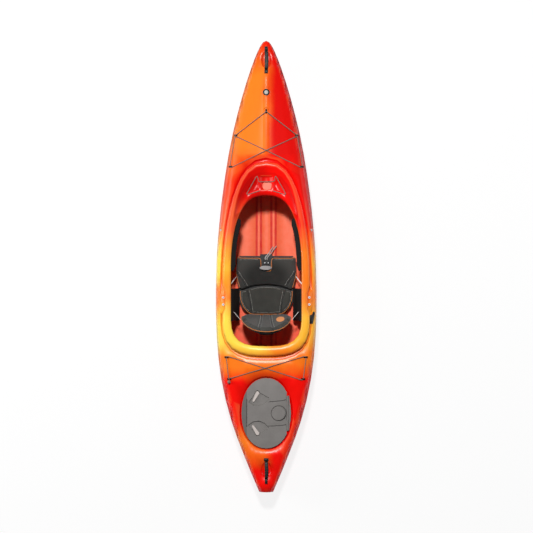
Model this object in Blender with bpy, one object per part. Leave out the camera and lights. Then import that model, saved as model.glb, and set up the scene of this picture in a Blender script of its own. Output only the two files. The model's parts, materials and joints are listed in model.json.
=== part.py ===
"""Recreational kayak, 3.20 m long, with a seat, foot braces, stern hatch and drop-down skeg.

Metres, +Z up. The bow points to +Y, starboard is +X, and the keel rests on Z = 0.
The origin is under the middle of the boat's length.
"""

import bisect
import functools
import math
from collections import namedtuple

import bmesh
import bpy
from mathutils import Matrix, Vector
from mathutils.bvhtree import BVHTree
from mathutils.geometry import delaunay_2d_cdt

# Shell
BOW_Y = 1.600
TRANSOM_Y = -1.600
WALL = 0.005
GAP = 0.0003
NOSE_TAPER = 0.090
NOSE_LEAST = 0.12
SHELL_FACTOR_MOST = 1.3
WELD = 2e-5

# Lines of the boat: stations of (Y, value), stern to bow
HALF_BEAM = ((-1.600, 0.050), (-1.371, 0.146), (-1.088, 0.250), (-0.804, 0.318), (-0.520, 0.3505),
             (-0.237, 0.3585), (0.047, 0.3525), (0.330, 0.331), (0.614, 0.2965), (0.898, 0.248),
             (1.181, 0.178), (1.323, 0.1355), (1.465, 0.0855), (1.536, 0.055), (1.571, 0.036),
             (1.592, 0.019), (1.600, 0.0))
SHEER_Z = ((-1.600, 0.205), (-0.900, 0.205), (-0.300, 0.210), (0.400, 0.215), (1.000, 0.232),
           (1.450, 0.258), (1.600, 0.268))
KEEL_Z = ((-1.600, 0.062), (-1.450, 0.026), (-1.310, 0.004), (-1.220, 0.0), (1.000, 0.0),
          (1.200, 0.010), (1.350, 0.034), (1.480, 0.082), (1.560, 0.150), (1.592, 0.215),
          (1.600, 0.268))
FLAT_HALF = ((-1.600, 0.006), (-1.350, 0.035), (-1.000, 0.090), (-0.600, 0.130), (0.000, 0.150),
             (0.500, 0.135), (0.900, 0.090), (1.200, 0.045), (1.400, 0.015), (1.600, 0.0))
BILGE_POWER = ((-1.600, 1.7), (-1.000, 2.1), (-0.300, 2.6), (0.300, 2.6), (1.000, 2.0), (1.600, 1.5))
EDGE_INSET = ((-1.600, 0.020), (-1.400, 0.032), (-1.200, 0.036), (-0.970, 0.050), (-0.600, 0.040),
              (-0.450, 0.026), (-0.300, 0.022), (0.000, 0.022), (0.300, 0.035), (0.580, 0.053),
              (0.900, 0.050), (1.200, 0.042), (1.400, 0.035), (1.500, 0.026), (1.570, 0.013),
              (1.600, 0.0))
EDGE_RISE = ((-1.600, 0.030), (-1.200, 0.045), (-0.600, 0.052), (0.000, 0.055), (0.600, 0.060),
             (1.100, 0.050), (1.400, 0.035), (1.550, 0.015), (1.600, 0.0))
CROWN = ((-1.600, 0.010), (-1.200, 0.012), (-0.750, 0.018), (-0.600, 0.020), (0.000, 0.030),
         (0.770, 0.050), (1.100, 0.045), (1.400, 0.030), (1.550, 0.012), (1.600, 0.0))
CROWN_POWER = ((-1.600, 2.2), (0.200, 2.0), (0.800, 1.15), (1.600, 1.10))
SHOULDER_SLOPE = 0.35
HULL_STATIONS = (-1.600, -1.540, -1.450, -1.340, -1.220, -1.100, -0.950, -0.800, -0.650, -0.500,
                 -0.400, -0.300, -0.150, 0.000, 0.100, 0.200, 0.300, 0.400, 0.500, 0.650, 0.800,
                 0.950, 1.080, 1.200, 1.310, 1.400, 1.470, 1.525, 1.560, 1.580, 1.592)
BILGE_STEPS = 7

# Two long stiffening tunnels in the bottom
TUNNEL_COLUMNS = (0.0, 0.034, 0.041, 0.065, 0.072)
TUNNEL_RAISED = (2, 3)
TUNNEL_FULL_WIDTH = 0.085
TUNNEL_DEPTH = ((-1.600, 0.0), (-1.300, 0.0), (-1.200, 0.010), (0.900, 0.012), (1.050, 0.0),
                (1.600, 0.0))

# Cockpit rim
Egg = namedtuple("Egg", "half front rear wide_front wide_rear front_power rear_power")
OPENING = Egg(0.250, 0.505, -0.5615, 0.0, -0.335, 2.8, 3.2)
RIM_INNER = Egg(0.2545, 0.700, -0.567, 0.0, -0.335, 2.7, 3.2)
RIM_CREST = Egg(0.272, 0.716, -0.594, -0.10, -0.335, 2.75, 3.0)
RIM_LIP = Egg(0.308, 0.740, -0.631, -0.13, -0.335, 2.5, 2.9)
GROOVE_OUTER = Egg(0.324, 0.771, -0.664, -0.15, -0.335, 2.35, 2.8)
EGG_FRONT_LENGTH_POWER = 2.0
EGG_REAR_LENGTH_POWER = 3.2
EGG_FRONT_STEPS = 26
EGG_SIDE_Y = (-0.185, -0.2165, -0.2425, -0.2665, -0.300)
EGG_REAR_STEPS = 16
ARC_SAMPLES = 240
RIM_Z = ((-0.664, 0.306), (-0.300, 0.308), (0.000, 0.316), (0.400, 0.338), (0.771, 0.357))
GROOVE_DEPTH = 0.006
LIP_DROP = 0.018
OPENING_TURN_DOWN = 0.022

# Seat bolts, on flat beds in the rim
SEAT_BOLT_X = 0.3045
SEAT_BOLT_Y = (-0.2165, -0.2665)
SEAT_BOLT_R = 0.003
SEAT_BOLT_HEAD_R = 0.0065
SEAT_BOLT_END_Z = 0.262
BED_DROP = 0.0260
BED_REAR = -0.300
BED_FRONT = -0.185
BED_BLEND = 0.035

# Skeg: slot, box, pivot (Y, Z), blade outline from its pivot, deck cleat and pull knob
SKEG_SLOT = (-1.185, -0.900)
SKEG_SLOT_HALF = 0.007
SKEG_WALL = 0.003
SKEG_BOX_Z = (0.0053, 0.133)
SKEG_PIVOT = (-0.925, 0.040)
SKEG_PIN_R = 0.004
SKEG_BLADE_HALF = 0.004
SKEG_NOSE_R = 0.018
SKEG_BLADE = ((-0.040, -0.036), (-0.130, -0.038), (-0.225, -0.038), (-0.240, -0.020),
              (-0.225, 0.040), (-0.190, 0.080), (-0.120, 0.068), (-0.050, 0.050))
KNOB_PLACE = (0.3155, -0.369)
KNOB_R = 0.006
KNOB_LENGTH = 0.054
FAIRLEAD = (0.336, -0.326, 0.008)
CLEAT_OUTLINE = ((0.3095, -0.403), (0.3300, -0.403), (0.3440, -0.335), (0.3440, -0.320),
                 (0.3310, -0.318), (0.3275, -0.332), (0.3095, -0.352))

# Console between the rim and the front of the opening
RIM_INNER_DROP = 0.006
CONSOLE_DROP = ((-0.600, 0.008), (0.080, 0.008), (0.480, 0.024), (0.720, 0.024))
OPENING_EXTRA_DROP = 0.004
CONSOLE_SHOULDER = 0.82
TRAY_DEPTH = 0.008
TRAY_DRAFT = 0.004
TRAY_CORNERS = ((0.066, 0.628), (0.130, 0.519), (0.052, 0.548))
TROUGH_CORNERS = ((-0.046, 0.640), (-0.034, 0.545), (0.034, 0.545), (0.046, 0.640))
CORNER_CUT = 0.010

# Hatch
HATCH_Y = -1.037
Oval = namedtuple("Oval", "half_x half_y")
HATCH_RECESS = Oval(0.191, 0.265)
HATCH_FLOOR = Oval(0.186, 0.260)
HATCH_COVER = Oval(0.175, 0.249)
HATCH_HOLE_TOP = Oval(0.153, 0.226)
HATCH_HOLE = Oval(0.149, 0.222)
HATCH_FLOOR_Z = 0.2465
HATCH_HOLE_TURN_DOWN = 0.014
HATCH_STEPS = 40
OVAL_POWER = 0.94
HINGE_X = 0.152

# Pad eyes, and the finger recesses under the handles
Dish = namedtuple("Dish", "x y rx ry depth")
BOW_EYES = {"bow_eye_center": (0.0, 1.096), "bow_eye_mid_L": (-0.213, 0.928),
            "bow_eye_mid_R": (0.213, 0.928), "bow_eye_rear_L": (-0.251, 0.709),
            "bow_eye_rear_R": (0.251, 0.709)}
STERN_EYES = {"stern_eye_front_L": (-0.280, -0.640), "stern_eye_front_R": (0.280, -0.640),
              "stern_eye_rear_L": (-0.262, -0.795), "stern_eye_rear_R": (0.262, -0.795)}
DISH_STEPS = 14
DISHES = (Dish(0.0, 1.4615, 0.0375, 0.067, 0.022), Dish(0.0, -1.440, 0.040, 0.060, 0.022))

# Hatch parts
COVER_BOTTOM_Z = 0.2503
COVER_EDGE_Z = 0.2615
COVER_CROWN = 0.0065
COVER_CUT_X = 0.145
LEAF_X = 0.159
LEAF_TOP_Z = 0.2600
LEAF_Y = (-1.160, -0.914)
KNUCKLE_R = 0.006
HINGE_PIN_R = 0.003
LEAF_KNUCKLES = ((-1.160, -1.1155), (-1.0895, -0.9845), (-0.9575, -0.914))
COVER_KNUCKLES = ((-1.115, -1.090), (-0.984, -0.958))
GASKET = (Oval(0.1635, 0.2365), Oval(0.1555, 0.2285))
GASKET_TOP_Z = 0.2500
HATCH_BOSS = (0.086, -1.039, 0.050)
LATCHES = {"front": (-0.062, -0.895, 242.5, 1.0), "rear": (-0.062, -1.180, 121.8, -1.0)}
LATCH_SWING = 78.0
LATCH_LENGTH = 0.081
LATCH_FAN_R = 0.090
LATCH_FLOOR_Z = 0.2560
LATCH_TONGUE_Z = (0.2400, 0.2460)
LATCH_SHAFT_R = 0.006

# Seat
PAN_OUTLINE = ((0.175, 0.030), (0.188, 0.022), (0.192, 0.005), (0.192, -0.250), (0.172, -0.295),
               (0.140, -0.328), (0.105, -0.345))
PAN_Z = (0.0175, 0.0600)
PAN_WALL = 0.004
EAR_X = 0.0645
LIFT_OUTLINE = ((0.195, -0.150), (0.205, -0.140), (0.210, -0.030), (0.206, 0.055), (0.190, 0.078),
                (0.046, 0.078), (0.040, 0.091))
LIFT_Z = (0.0605, 0.0655)
THIGH_OUTLINE = ((0.188, -0.147), (0.198, -0.135), (0.208, -0.100), (0.220, -0.037), (0.217, 0.015),
                 (0.211, 0.044), (0.200, 0.060), (0.185, 0.066), (0.048, 0.066), (0.039, 0.058),
                 (0.037, 0.045), (0.037, -0.016), (0.030, -0.024))
THIGH_SEAM = ((0.216, -0.037), (0.129, -0.144))
SEAT_OUTLINE = ((0.186, -0.150), (0.190, -0.160), (0.190, -0.205), (0.184, -0.245),
                (0.165, -0.290), (0.138, -0.324), (0.116, -0.338), (0.090, -0.344))
SEAT_SEAM = ((0.129, -0.152), (0.104, -0.341))
CUSHION_HEIGHT = 0.040
CUSHION_ROUND = 0.024
CUSHION_EDGE_DROP = 0.012
CHANNEL_HALF = 0.016
CHANNEL_DEPTH = 0.008
THIGH_REAR_LEAN = 0.0095
HANGER_PROFILE = ((0.285, 0.2725), (0.262, 0.264), (0.245, 0.251), (0.238, 0.233),
                  (0.215, 0.105), (0.1945, 0.085), (0.1945, 0.030))
HANGER_Y = (-0.385, -0.155)
FLANGE_X = (0.280, 0.312)
FLANGE_Y = (-0.290, -0.195)
HANGER_THICK = 0.004
LIFT_HINGE = (-0.150, 0.063)
CLEAT_BLOCK = (0.021, 0.012, 0.050, 0.012)
HANDLE_AT = (-0.004, -0.008)
HANDLE_HALF = (0.044, 0.0165)
HANDLE_RINGS = ((0.86, 0.1070), (1.0, 0.1100), (1.0, 0.1150), (0.86, 0.1180))
PULL_CORD_ROUTES = {
    "pull_cord_A": ((-0.006, 0.0506, 0.0720), (-0.007, 0.066, 0.0700), (0.006, 0.082, 0.0697),
                    (0.019, 0.098, 0.0670), (0.034, 0.120, 0.0450), (0.0496, 0.144, 0.0212)),
    "pull_cord_B": ((0.006, 0.0506, 0.0720), (0.007, 0.064, 0.0700), (0.020, 0.081, 0.0697),
                    (0.033, 0.098, 0.0670), (0.052, 0.122, 0.0420), (0.0740, 0.149, 0.0150))}

# Seat back, drawn in its own plane, leaning back from a hinge behind the pan
BACK_HINGE = (-0.356, 0.078)
BACK_LEAN = 20.3
BACK_FOOT = (-0.338, 0.110)
BACK_THICK = 0.032
BACK_WRAP = 0.015
BACK_OUTLINE = ((0.120, 0.000), (0.160, 0.014), (0.180, 0.045), (0.182, 0.075), (0.176, 0.120),
                (0.160, 0.172), (0.132, 0.222), (0.095, 0.260), (0.050, 0.285), (0.000, 0.293))
BACK_SEAM = ((0.032, 0.010), (0.050, 0.262))
BACK_PLATE = 0.005
BACK_GAP = 0.001
BACK_BARREL_R = 0.008
BACK_PIN_R = 0.004
BACK_LOOP_V = 0.225

# Foot braces: start and end of a rail's outer face, height of its middle, sizes
RAIL_START = (0.3224, 0.240)
RAIL_END = (0.2704, 0.640)
RAIL_Z = 0.130
RAIL_TALL = 0.022
RAIL_DEEP = 0.012
RAIL_STUDS = (0.025, 0.375)
RAIL_STUD_R = 0.004
RAIL_STUD_OUT = 0.0151
PEDAL_AT = 0.210
PEDAL_LENGTH = 0.060

# Carry handles: cap boxes as (middle Y, half width, half length), strap section
BOW_CAPS = {"bow_handle_cap_front": (1.545, 0.012, 0.013), "bow_handle_cap_rear": (1.378, 0.013, 0.014)}
STERN_CAPS = {"stern_handle_cap_front": (-1.367, 0.0165, 0.011),
              "stern_handle_cap_rear": (-1.522, 0.010, 0.018)}
CAP_HEIGHT = 0.011
STRAP_HALF = 0.012
STRAP_THICK = 0.008
STRAP_ARCH = 0.013
STRAP_STEPS = 10
STRAP_SWAY = 0.003
STRAP_SIT = 0.0015
STRAP_END_GAP = 0.002
SEAT_CLEAR = 0.0006

# Thigh pads, screws and bulkhead
THIGH_PAD_Y = (-0.030, 0.345)
THIGH_PAD_STEPS = 9
BRACE_SCREW = (0.321, 0.260)
HULL_BAYS = {"hull_bow": (0.05, 1.70), "hull_stern": (-1.70, 0.05)}
DECK_BAYS = {"deck_bow": (0.80, 1.70), "deck_front": (0.05, 0.80), "deck_rear": (-0.70, 0.05),
             "deck_stern": (-1.70, -0.70)}
BAY_HALF = 0.5
BAY_TOP = 0.6
BULKHEAD_Y = (-0.720, -0.700)
BULKHEAD_FOOT = 0.012
BULKHEAD_CLEAR = 0.004
CUSHION_GRID = 0.042
CUSHION_TUCK = 0.004
LATCH_END_R = 0.020
LATCH_SIDE = 18.0
LATCH_DRAFT = 0.003
DRAPE_STEPS = 28

# Cords
BUNGEE = 0.006
CONSOLE_CORD = 0.005
CONSOLE_CORD_ROUTE = ((-0.045, 0.536), (-0.143, 0.506), (-0.064, 0.646), (-0.052, 0.600),
                      (0.059, 0.600), (0.064, 0.646), (0.143, 0.506), (0.045, 0.536))
PULL_CORD = 0.007
CORD_CLEAR = 0.0006
CORD_TURN = 0.020
TURN_STEPS = 6
EYE_BASE = (0.0150, 0.0065, 0.0030)
EYE_LEG_X = 0.01075
EYE_TOP = 0.0125
EYE_WIRE = 0.00175
EYE_CORD_H = 0.0072
BALL_R = 0.012

# Colours, as linear RGB
RED = (0.75, 0.012, 0.004)
BLACK = (0.012, 0.012, 0.012)
CHARCOAL = (0.030, 0.030, 0.028)
GREY = (0.15, 0.14, 0.14)
PALE_GREY = (0.45, 0.44, 0.42)
STEEL = (0.55, 0.55, 0.55)
CORD_BROWN = (0.16, 0.09, 0.06)


class Fair:
    """A fair curve through stations, which never overshoots them."""

    def __init__(self, stations):
        self.at = [s[0] for s in stations]
        self.value = [s[1] for s in stations]
        count = len(stations)
        chord = [(self.value[i + 1] - self.value[i]) / (self.at[i + 1] - self.at[i])
                 for i in range(count - 1)]
        self.slope = [chord[0]] + [0.0] * (count - 2) + [chord[-1]]
        for i in range(1, count - 1):
            if chord[i - 1] * chord[i] > 0.0:
                self.slope[i] = 2.0 * chord[i - 1] * chord[i] / (chord[i - 1] + chord[i])

    def __call__(self, y):
        y = min(max(y, self.at[0]), self.at[-1])
        i = min(max(bisect.bisect_right(self.at, y) - 1, 0), len(self.at) - 2)
        span = self.at[i + 1] - self.at[i]
        t = (y - self.at[i]) / span
        return ((1.0 + 2.0 * t) * (1.0 - t) ** 2 * self.value[i]
                + t * (1.0 - t) ** 2 * span * self.slope[i]
                + t * t * (3.0 - 2.0 * t) * self.value[i + 1]
                - t * t * (1.0 - t) * span * self.slope[i + 1])


half_beam = Fair(HALF_BEAM)
sheer_z = Fair(SHEER_Z)
keel_z = Fair(KEEL_Z)
flat_half = Fair(FLAT_HALF)
bilge_power = Fair(BILGE_POWER)
edge_inset = Fair(EDGE_INSET)
edge_rise = Fair(EDGE_RISE)
crown = Fair(CROWN)
crown_power = Fair(CROWN_POWER)
tunnel_depth = Fair(TUNNEL_DEPTH)
rim_z = Fair(RIM_Z)
console_drop = Fair(CONSOLE_DROP)


def smoothstep(value, low, high):
    """0 below low, 1 above high, smooth between."""
    t = min(max((value - low) / (high - low), 0.0), 1.0)
    return t * t * (3.0 - 2.0 * t)


def deck_edge(y):
    """Half-width of the deck's rounded edge, where the flank starts."""
    return half_beam(y) - edge_inset(y)


def fair_deck(x, y):
    """Deck height before recesses: a crowned top, a rounded edge and a sloping flank."""
    across = abs(x)
    edge = deck_edge(y)
    low = sheer_z(y)
    shoulder = low + edge_rise(y)
    if across <= edge and edge > 0.0:
        return shoulder + crown(y) * (1.0 - (across / edge) ** crown_power(y))
    inset = max(edge_inset(y), 1e-6)
    t = min((across - edge) / inset, 1.0)
    return shoulder - edge_rise(y) * (SHOULDER_SLOPE * t + (1.0 - SHOULDER_SLOPE) * t * t)


def dish_drop(x, y, dish):
    """How far a rounded recess lowers the deck at a point."""
    reach = ((x - dish.x) / dish.rx) ** 2 + ((y - dish.y) / dish.ry) ** 2
    return dish.depth * (1.0 - reach) ** 0.7 if reach < 1.0 else 0.0


def deck_z(x, y):
    """Deck height with its recesses and the level bed round the hatch."""
    height = fair_deck(x, y)
    return height - sum(dish_drop(x, y, dish) for dish in DISHES)


def even_steps(points, steps):
    """Points spread evenly along a line of points."""
    reach = [0.0]
    for a, b in zip(points, points[1:]):
        reach.append(reach[-1] + math.dist(a, b))
    spread = []
    for k in range(steps + 1):
        at = reach[-1] * k / steps
        i = min(max(bisect.bisect_right(reach, at) - 1, 0), len(points) - 2)
        t = (at - reach[i]) / (reach[i + 1] - reach[i])
        spread.append(tuple(a + (b - a) * t for a, b in zip(points[i], points[i + 1])))
    return spread


def egg_arc(half, wide, end, across_power, along_power, steps):
    """Half of a cockpit outline beyond its widest line, from port to starboard."""
    samples = []
    for k in range(ARC_SAMPLES + 1):
        angle = math.pi * k / ARC_SAMPLES
        across = abs(math.cos(angle)) ** (2.0 / across_power)
        samples.append((math.copysign(across * half, -math.cos(angle)),
                        wide + (end - wide) * math.sin(angle) ** (2.0 / along_power)))
    return even_steps(samples, steps)


@functools.lru_cache
def egg_ring(egg):
    """All points of a cockpit outline, clockwise from the port widest point."""
    front = egg_arc(egg.half, egg.wide_front, egg.front, egg.front_power, EGG_FRONT_LENGTH_POWER,
                    EGG_FRONT_STEPS)
    rear = egg_arc(egg.half, egg.wide_rear, egg.rear, egg.rear_power, EGG_REAR_LENGTH_POWER,
                   EGG_REAR_STEPS)
    starboard = [(egg.half, y) for y in EGG_SIDE_Y]
    return front + starboard + rear[::-1] + mirrored(starboard)[::-1]


def between(first, second, share):
    """Ring that lies a share of the way from the first ring to the second."""
    return [(a[0] + (b[0] - a[0]) * share, a[1] + (b[1] - a[1]) * share)
            for a, b in zip(first, second)]


def egg_level(egg, x, y):
    """1 on the outline, less inside it, more outside."""
    across = abs(x) / egg.half
    if y >= egg.wide_front:
        along = (y - egg.wide_front) / (egg.front - egg.wide_front)
        return across ** egg.front_power + along ** EGG_FRONT_LENGTH_POWER
    if y <= egg.wide_rear:
        along = (egg.wide_rear - y) / (egg.wide_rear - egg.rear)
        return across ** egg.rear_power + along ** EGG_REAR_LENGTH_POWER
    return across


def console_base(x, y):
    """Height of the surface between the rim and the opening, before its trays."""
    past_opening = max(egg_level(OPENING, x, y) - 1.0, 0.0)
    before_rim = max(1.0 - egg_level(RIM_INNER, x, y), 0.0)
    share = past_opening / max(past_opening + before_rim, 1e-9)
    floor = rim_z(y) - console_drop(y)
    top = rim_z(y) - RIM_INNER_DROP
    height = floor + (top - floor) * smoothstep(share, CONSOLE_SHOULDER, 1.0)
    return height - OPENING_EXTRA_DROP * (1.0 - smoothstep(share, 0.0, 0.12))


def shrunk(points, distance):
    """Outline drawn in towards its middle by a distance."""
    middle = sum((Vector(p) for p in points), Vector((0.0, 0.0))) / len(points)
    return [tuple(Vector(p) + (middle - Vector(p)).normalized() * distance) for p in points]


def rounded(corners, cut):
    """Outline whose corners are cut back and rounded."""
    points = []
    for i, corner in enumerate(corners):
        here = Vector(corner)
        start = here + (Vector(corners[i - 1]) - here).normalized() * cut
        end = here + (Vector(corners[(i + 1) % len(corners)]) - here).normalized() * cut
        points += [tuple(start), tuple((start + end) / 4.0 + here / 2.0), tuple(end)]
    return points


def mirrored(points):
    """Outline mirrored from starboard to port."""
    return [(-x, y) for x, y in points]


def oval_ring(oval, steps=HATCH_STEPS):
    """Points of a hatch outline, an oval slightly fuller than an ellipse."""
    ring = []
    for i in range(steps):
        angle = 2.0 * math.pi * i / steps
        c = math.cos(angle)
        s = math.sin(angle)
        ring.append((math.copysign(abs(c) ** OVAL_POWER, c) * oval.half_x,
                     HATCH_Y + math.copysign(abs(s) ** OVAL_POWER, s) * oval.half_y))
    return ring


def console_pockets():
    """Outlines of the two trays and the trough between them."""
    tray = rounded(TRAY_CORNERS, CORNER_CUT)
    return tray, mirrored(tray), rounded(TROUGH_CORNERS, CORNER_CUT)


def inside(point, outline):
    """Even-odd test of a point against a closed outline."""
    x, y = point
    odd = False
    for a, b in zip(outline, outline[1:] + outline[:1]):
        if (a[1] > y) != (b[1] > y) and x < a[0] + (y - a[1]) / (b[1] - a[1]) * (b[0] - a[0]):
            odd = not odd
    return odd


def material(name, colour, roughness=0.5, metallic=0.0):
    """A Principled BSDF material."""
    made = bpy.data.materials.new(name)
    made.use_nodes = True
    shader = made.node_tree.nodes["Principled BSDF"]
    shader.inputs["Base Color"].default_value = (*colour, 1.0)
    shader.inputs["Roughness"].default_value = roughness
    shader.inputs["Metallic"].default_value = metallic
    return made


def add_object(name, data, finish, parent=None):
    """Link a mesh or curve as a named object; a parent empty keeps it where it is."""
    made = bpy.data.objects.new(name, data)
    bpy.context.scene.collection.objects.link(made)
    data.materials.append(finish)
    if parent is not None:
        made.parent = parent
        made.matrix_parent_inverse = Matrix.Translation(parent.location).inverted()
    return made


def add_mesh(name, bm, finish, parent=None, sharp=40.0):
    """Turn a bmesh into a smooth-shaded object with sharp edges above an angle."""
    bmesh.ops.recalc_face_normals(bm, faces=bm.faces)
    mesh = bpy.data.meshes.new(name)
    bm.to_mesh(mesh)
    bm.free()
    mesh.shade_smooth()
    mesh.set_sharp_from_angle(angle=math.radians(sharp))
    return add_object(name, mesh, finish, parent)


def pivot(name, location):
    """An empty on a joint's axis."""
    made = bpy.data.objects.new(name, None)
    made.location = location
    bpy.context.scene.collection.objects.link(made)
    return made


def loft(bm, rings, caps=True):
    """Skin closed rings of points in turn, with flat ends."""
    rows = [[bm.verts.new(p) for p in ring] for ring in rings]
    for low, high in zip(rows, rows[1:]):
        for i in range(len(low)):
            j = (i + 1) % len(low)
            bm.faces.new((low[i], low[j], high[j], high[i]))
    if caps:
        bm.faces.new(rows[0])
        bm.faces.new(rows[-1])
    return rows


def prism(bm, outline, low, high, place=None):
    """Straight prism on an outline, turned into place by a matrix."""
    put = place if place is not None else Matrix.Identity(4)
    loft(bm, [[put @ Vector((x, y, z)) for x, y in outline] for z in (low, high)])


def block(bm, low, high, bevel=0.0):
    """Box between two corners, with bevelled edges."""
    centre = (Vector(low) + Vector(high)) / 2.0
    size = Vector(high) - Vector(low)
    place = Matrix.Translation(centre) @ Matrix.Diagonal((*size, 1.0))
    made = bmesh.ops.create_cube(bm, size=1.0, matrix=place)
    if bevel > 0.0:
        edges = list({e for v in made["verts"] for e in v.link_edges})
        bmesh.ops.bevel(bm, geom=edges, offset=bevel, segments=1, profile=0.5,
                        affect="EDGES", material=-1)


def rod(bm, start, end, radius, sides=12):
    """Round bar between two points."""
    start = Vector(start)
    end = Vector(end)
    along = end - start
    place = Matrix.Translation((start + end) / 2.0) @ along.to_track_quat("Z", "Y").to_matrix().to_4x4()
    bmesh.ops.create_cone(bm, cap_ends=True, segments=sides, radius1=radius, radius2=radius,
                          depth=along.length, matrix=place)


def turned(bm, profile, place, sides=16):
    """Solid of revolution; the profile is (radius, height) pairs, both ends on the axis."""
    rings = []
    for radius, height in profile:
        rings.append([place @ Vector((radius * math.cos(2.0 * math.pi * i / sides),
                                      radius * math.sin(2.0 * math.pi * i / sides), height))
                      for i in range(sides)])
    loft(bm, rings)


def cutter(name, bm):
    """A hidden shape for a Boolean."""
    bmesh.ops.recalc_face_normals(bm, faces=bm.faces)
    mesh = bpy.data.meshes.new(name)
    bm.to_mesh(mesh)
    bm.free()
    made = bpy.data.objects.new(name, mesh)
    bpy.context.scene.collection.objects.link(made)
    made.hide_render = True
    made.display_type = "WIRE"
    return made


def boolean(target, tool, operation="DIFFERENCE"):
    """Cut or join a piece with a hidden shape."""
    step = target.modifiers.new(tool.name, "BOOLEAN")
    step.operation = operation
    step.solver = "EXACT"
    step.object = tool


def meshed(piece):
    """The same piece as a mesh, so that a shape can be joined to it."""
    bm = bmesh.new()
    bm.from_mesh(bpy.data.meshes.new_from_object(piece))
    bmesh.ops.remove_doubles(bm, verts=bm.verts, dist=WELD)
    name = piece.name
    finish = piece.data.materials[0]
    bpy.data.objects.remove(piece)
    return add_mesh(name, bm, finish)


def in_bays(piece, bays):
    """Part one half of the shell into bays along the boat, a gap apart."""
    for name, (low, high) in bays.items():
        bay = piece.copy()
        bay.data = piece.data.copy()
        bay.name = name
        bay.data.name = name
        bpy.context.scene.collection.objects.link(bay)
        room = solid(block, (-BAY_HALF, low + GAP / 2.0, -0.1), (BAY_HALF, high - GAP / 2.0, BAY_TOP))
        boolean(bay, cutter(name + "_room", room), "INTERSECT")
    bpy.data.objects.remove(piece)


def tube(name, points, diameter, finish, resolution=2, cyclic=False, parent=None):
    """Round cord along points, with closed ends."""
    data = bpy.data.curves.new(name, "CURVE")
    data.dimensions = "3D"
    data.bevel_depth = diameter / 2.0
    data.bevel_resolution = resolution
    data.use_fill_caps = True
    spline = data.splines.new("POLY")
    spline.points.add(len(points) - 1)
    for point, co in zip(spline.points, points):
        point.co = (*co, 1.0)
    spline.use_cyclic_u = cyclic
    return add_object(name, data, finish, parent)


def smooth_route(corners, spacing):
    """Evenly spaced points on a smooth curve through the corners of a route."""
    ends = [Vector(c) for c in corners]
    padded = [ends[0] * 2.0 - ends[1]] + ends + [ends[-1] * 2.0 - ends[-2]]
    points = [ends[0]]
    for a, b, c, d in zip(padded, padded[1:], padded[2:], padded[3:]):
        steps = max(int((c - b).length / spacing), 1)
        for k in range(1, steps + 1):
            t = k / steps
            points.append(0.5 * ((2.0 * b) + (c - a) * t + (2.0 * a - 5.0 * b + 4.0 * c - d) * t * t
                                 + (3.0 * b - a - 3.0 * c + d) * t ** 3))
    return points


def fill_outline(bm, outline, holes, lines, points, height):
    """Triangulate a plan outline through its feature lines and lift it to a height function."""
    coords = []
    edges = []
    for loop in [outline] + holes:
        first = len(coords)
        coords += [Vector(p) for p in loop]
        edges += [(first + i, first + (i + 1) % len(loop)) for i in range(len(loop))]
    for line in lines:
        first = len(coords)
        coords += [Vector(p) for p in line]
        edges += [(first + i, first + i + 1) for i in range(len(line) - 1)]
    coords += [Vector(p) for p in points]
    made, _, triangles, _, _, _ = delaunay_2d_cdt(coords, edges, [], 0, 1e-6)
    verts = {}
    for triangle in triangles:
        middle = sum((made[i] for i in triangle), Vector((0.0, 0.0))) / 3.0
        if not inside(middle, outline) or any(inside(middle, hole) for hole in holes):
            continue
        for i in triangle:
            if i not in verts:
                verts[i] = bm.verts.new((made[i].x, made[i].y, height(made[i].x, made[i].y)))
        bm.faces.new([verts[i] for i in triangle])


def strip(bm, rings):
    """Skin rings of points without ends."""
    loft(bm, rings, caps=False)


def shell(bm, upwards):
    """Close an open outer skin into a shell of even wall, thinner at the very nose."""
    bmesh.ops.remove_doubles(bm, verts=bm.verts, dist=WELD)
    bmesh.ops.recalc_face_normals(bm, faces=bm.faces)
    if (sum(f.normal.z * f.calc_area() for f in bm.faces) > 0.0) != upwards:
        bmesh.ops.reverse_faces(bm, faces=bm.faces)
    bm.normal_update()
    outer_faces = list(bm.faces)
    open_edges = [e for e in bm.edges if e.is_boundary]
    parting = {v for e in open_edges for v in e.verts if abs(v.co.z - sheer_z(v.co.y)) < WELD * 10.0}
    inner = {}
    for v in list(bm.verts):
        wall = WALL * min(max(half_beam(v.co.y) / NOSE_TAPER, NOSE_LEAST), 1.0)
        away = v.normal * min(v.calc_shell_factor(), SHELL_FACTOR_MOST)
        if v in parting:
            away = Vector((v.normal.x, v.normal.y, 0.0)).normalized()
        inner[v] = bm.verts.new(v.co - away * wall)
    for face in outer_faces:
        bm.faces.new([inner[v] for v in reversed(face.verts)])
    for edge in open_edges:
        a, b = edge.verts
        loop = edge.link_loops[0]
        if loop.vert is not a:
            a, b = b, a
        bm.faces.new((b, a, inner[a], inner[b]))


def hull_section(y):
    """Half of a hull section, from the keel up to the parting line, as (x, z) points."""
    flat = flat_half(y)
    keel = keel_z(y)
    narrow = min(1.0, flat / TUNNEL_FULL_WIDTH) ** 2
    rise = tunnel_depth(y) * narrow
    points = [(column * narrow, keel + (rise if i in TUNNEL_RAISED else 0.0))
              for i, column in enumerate(TUNNEL_COLUMNS)]
    power = 2.0 / bilge_power(y)
    for k in range(BILGE_STEPS + 1):
        angle = 0.5 * math.pi * k / BILGE_STEPS
        points.append((flat + (half_beam(y) - flat) * math.sin(angle) ** power,
                       sheer_z(y) - (sheer_z(y) - keel) * math.cos(angle) ** power))
    return points


def hull_row(y):
    """A whole hull section, from the port parting line round to the starboard one."""
    half = hull_section(y)
    return [(-x, y, z) for x, z in reversed(half[1:])] + [(x, y, z) for x, z in half]


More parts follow.
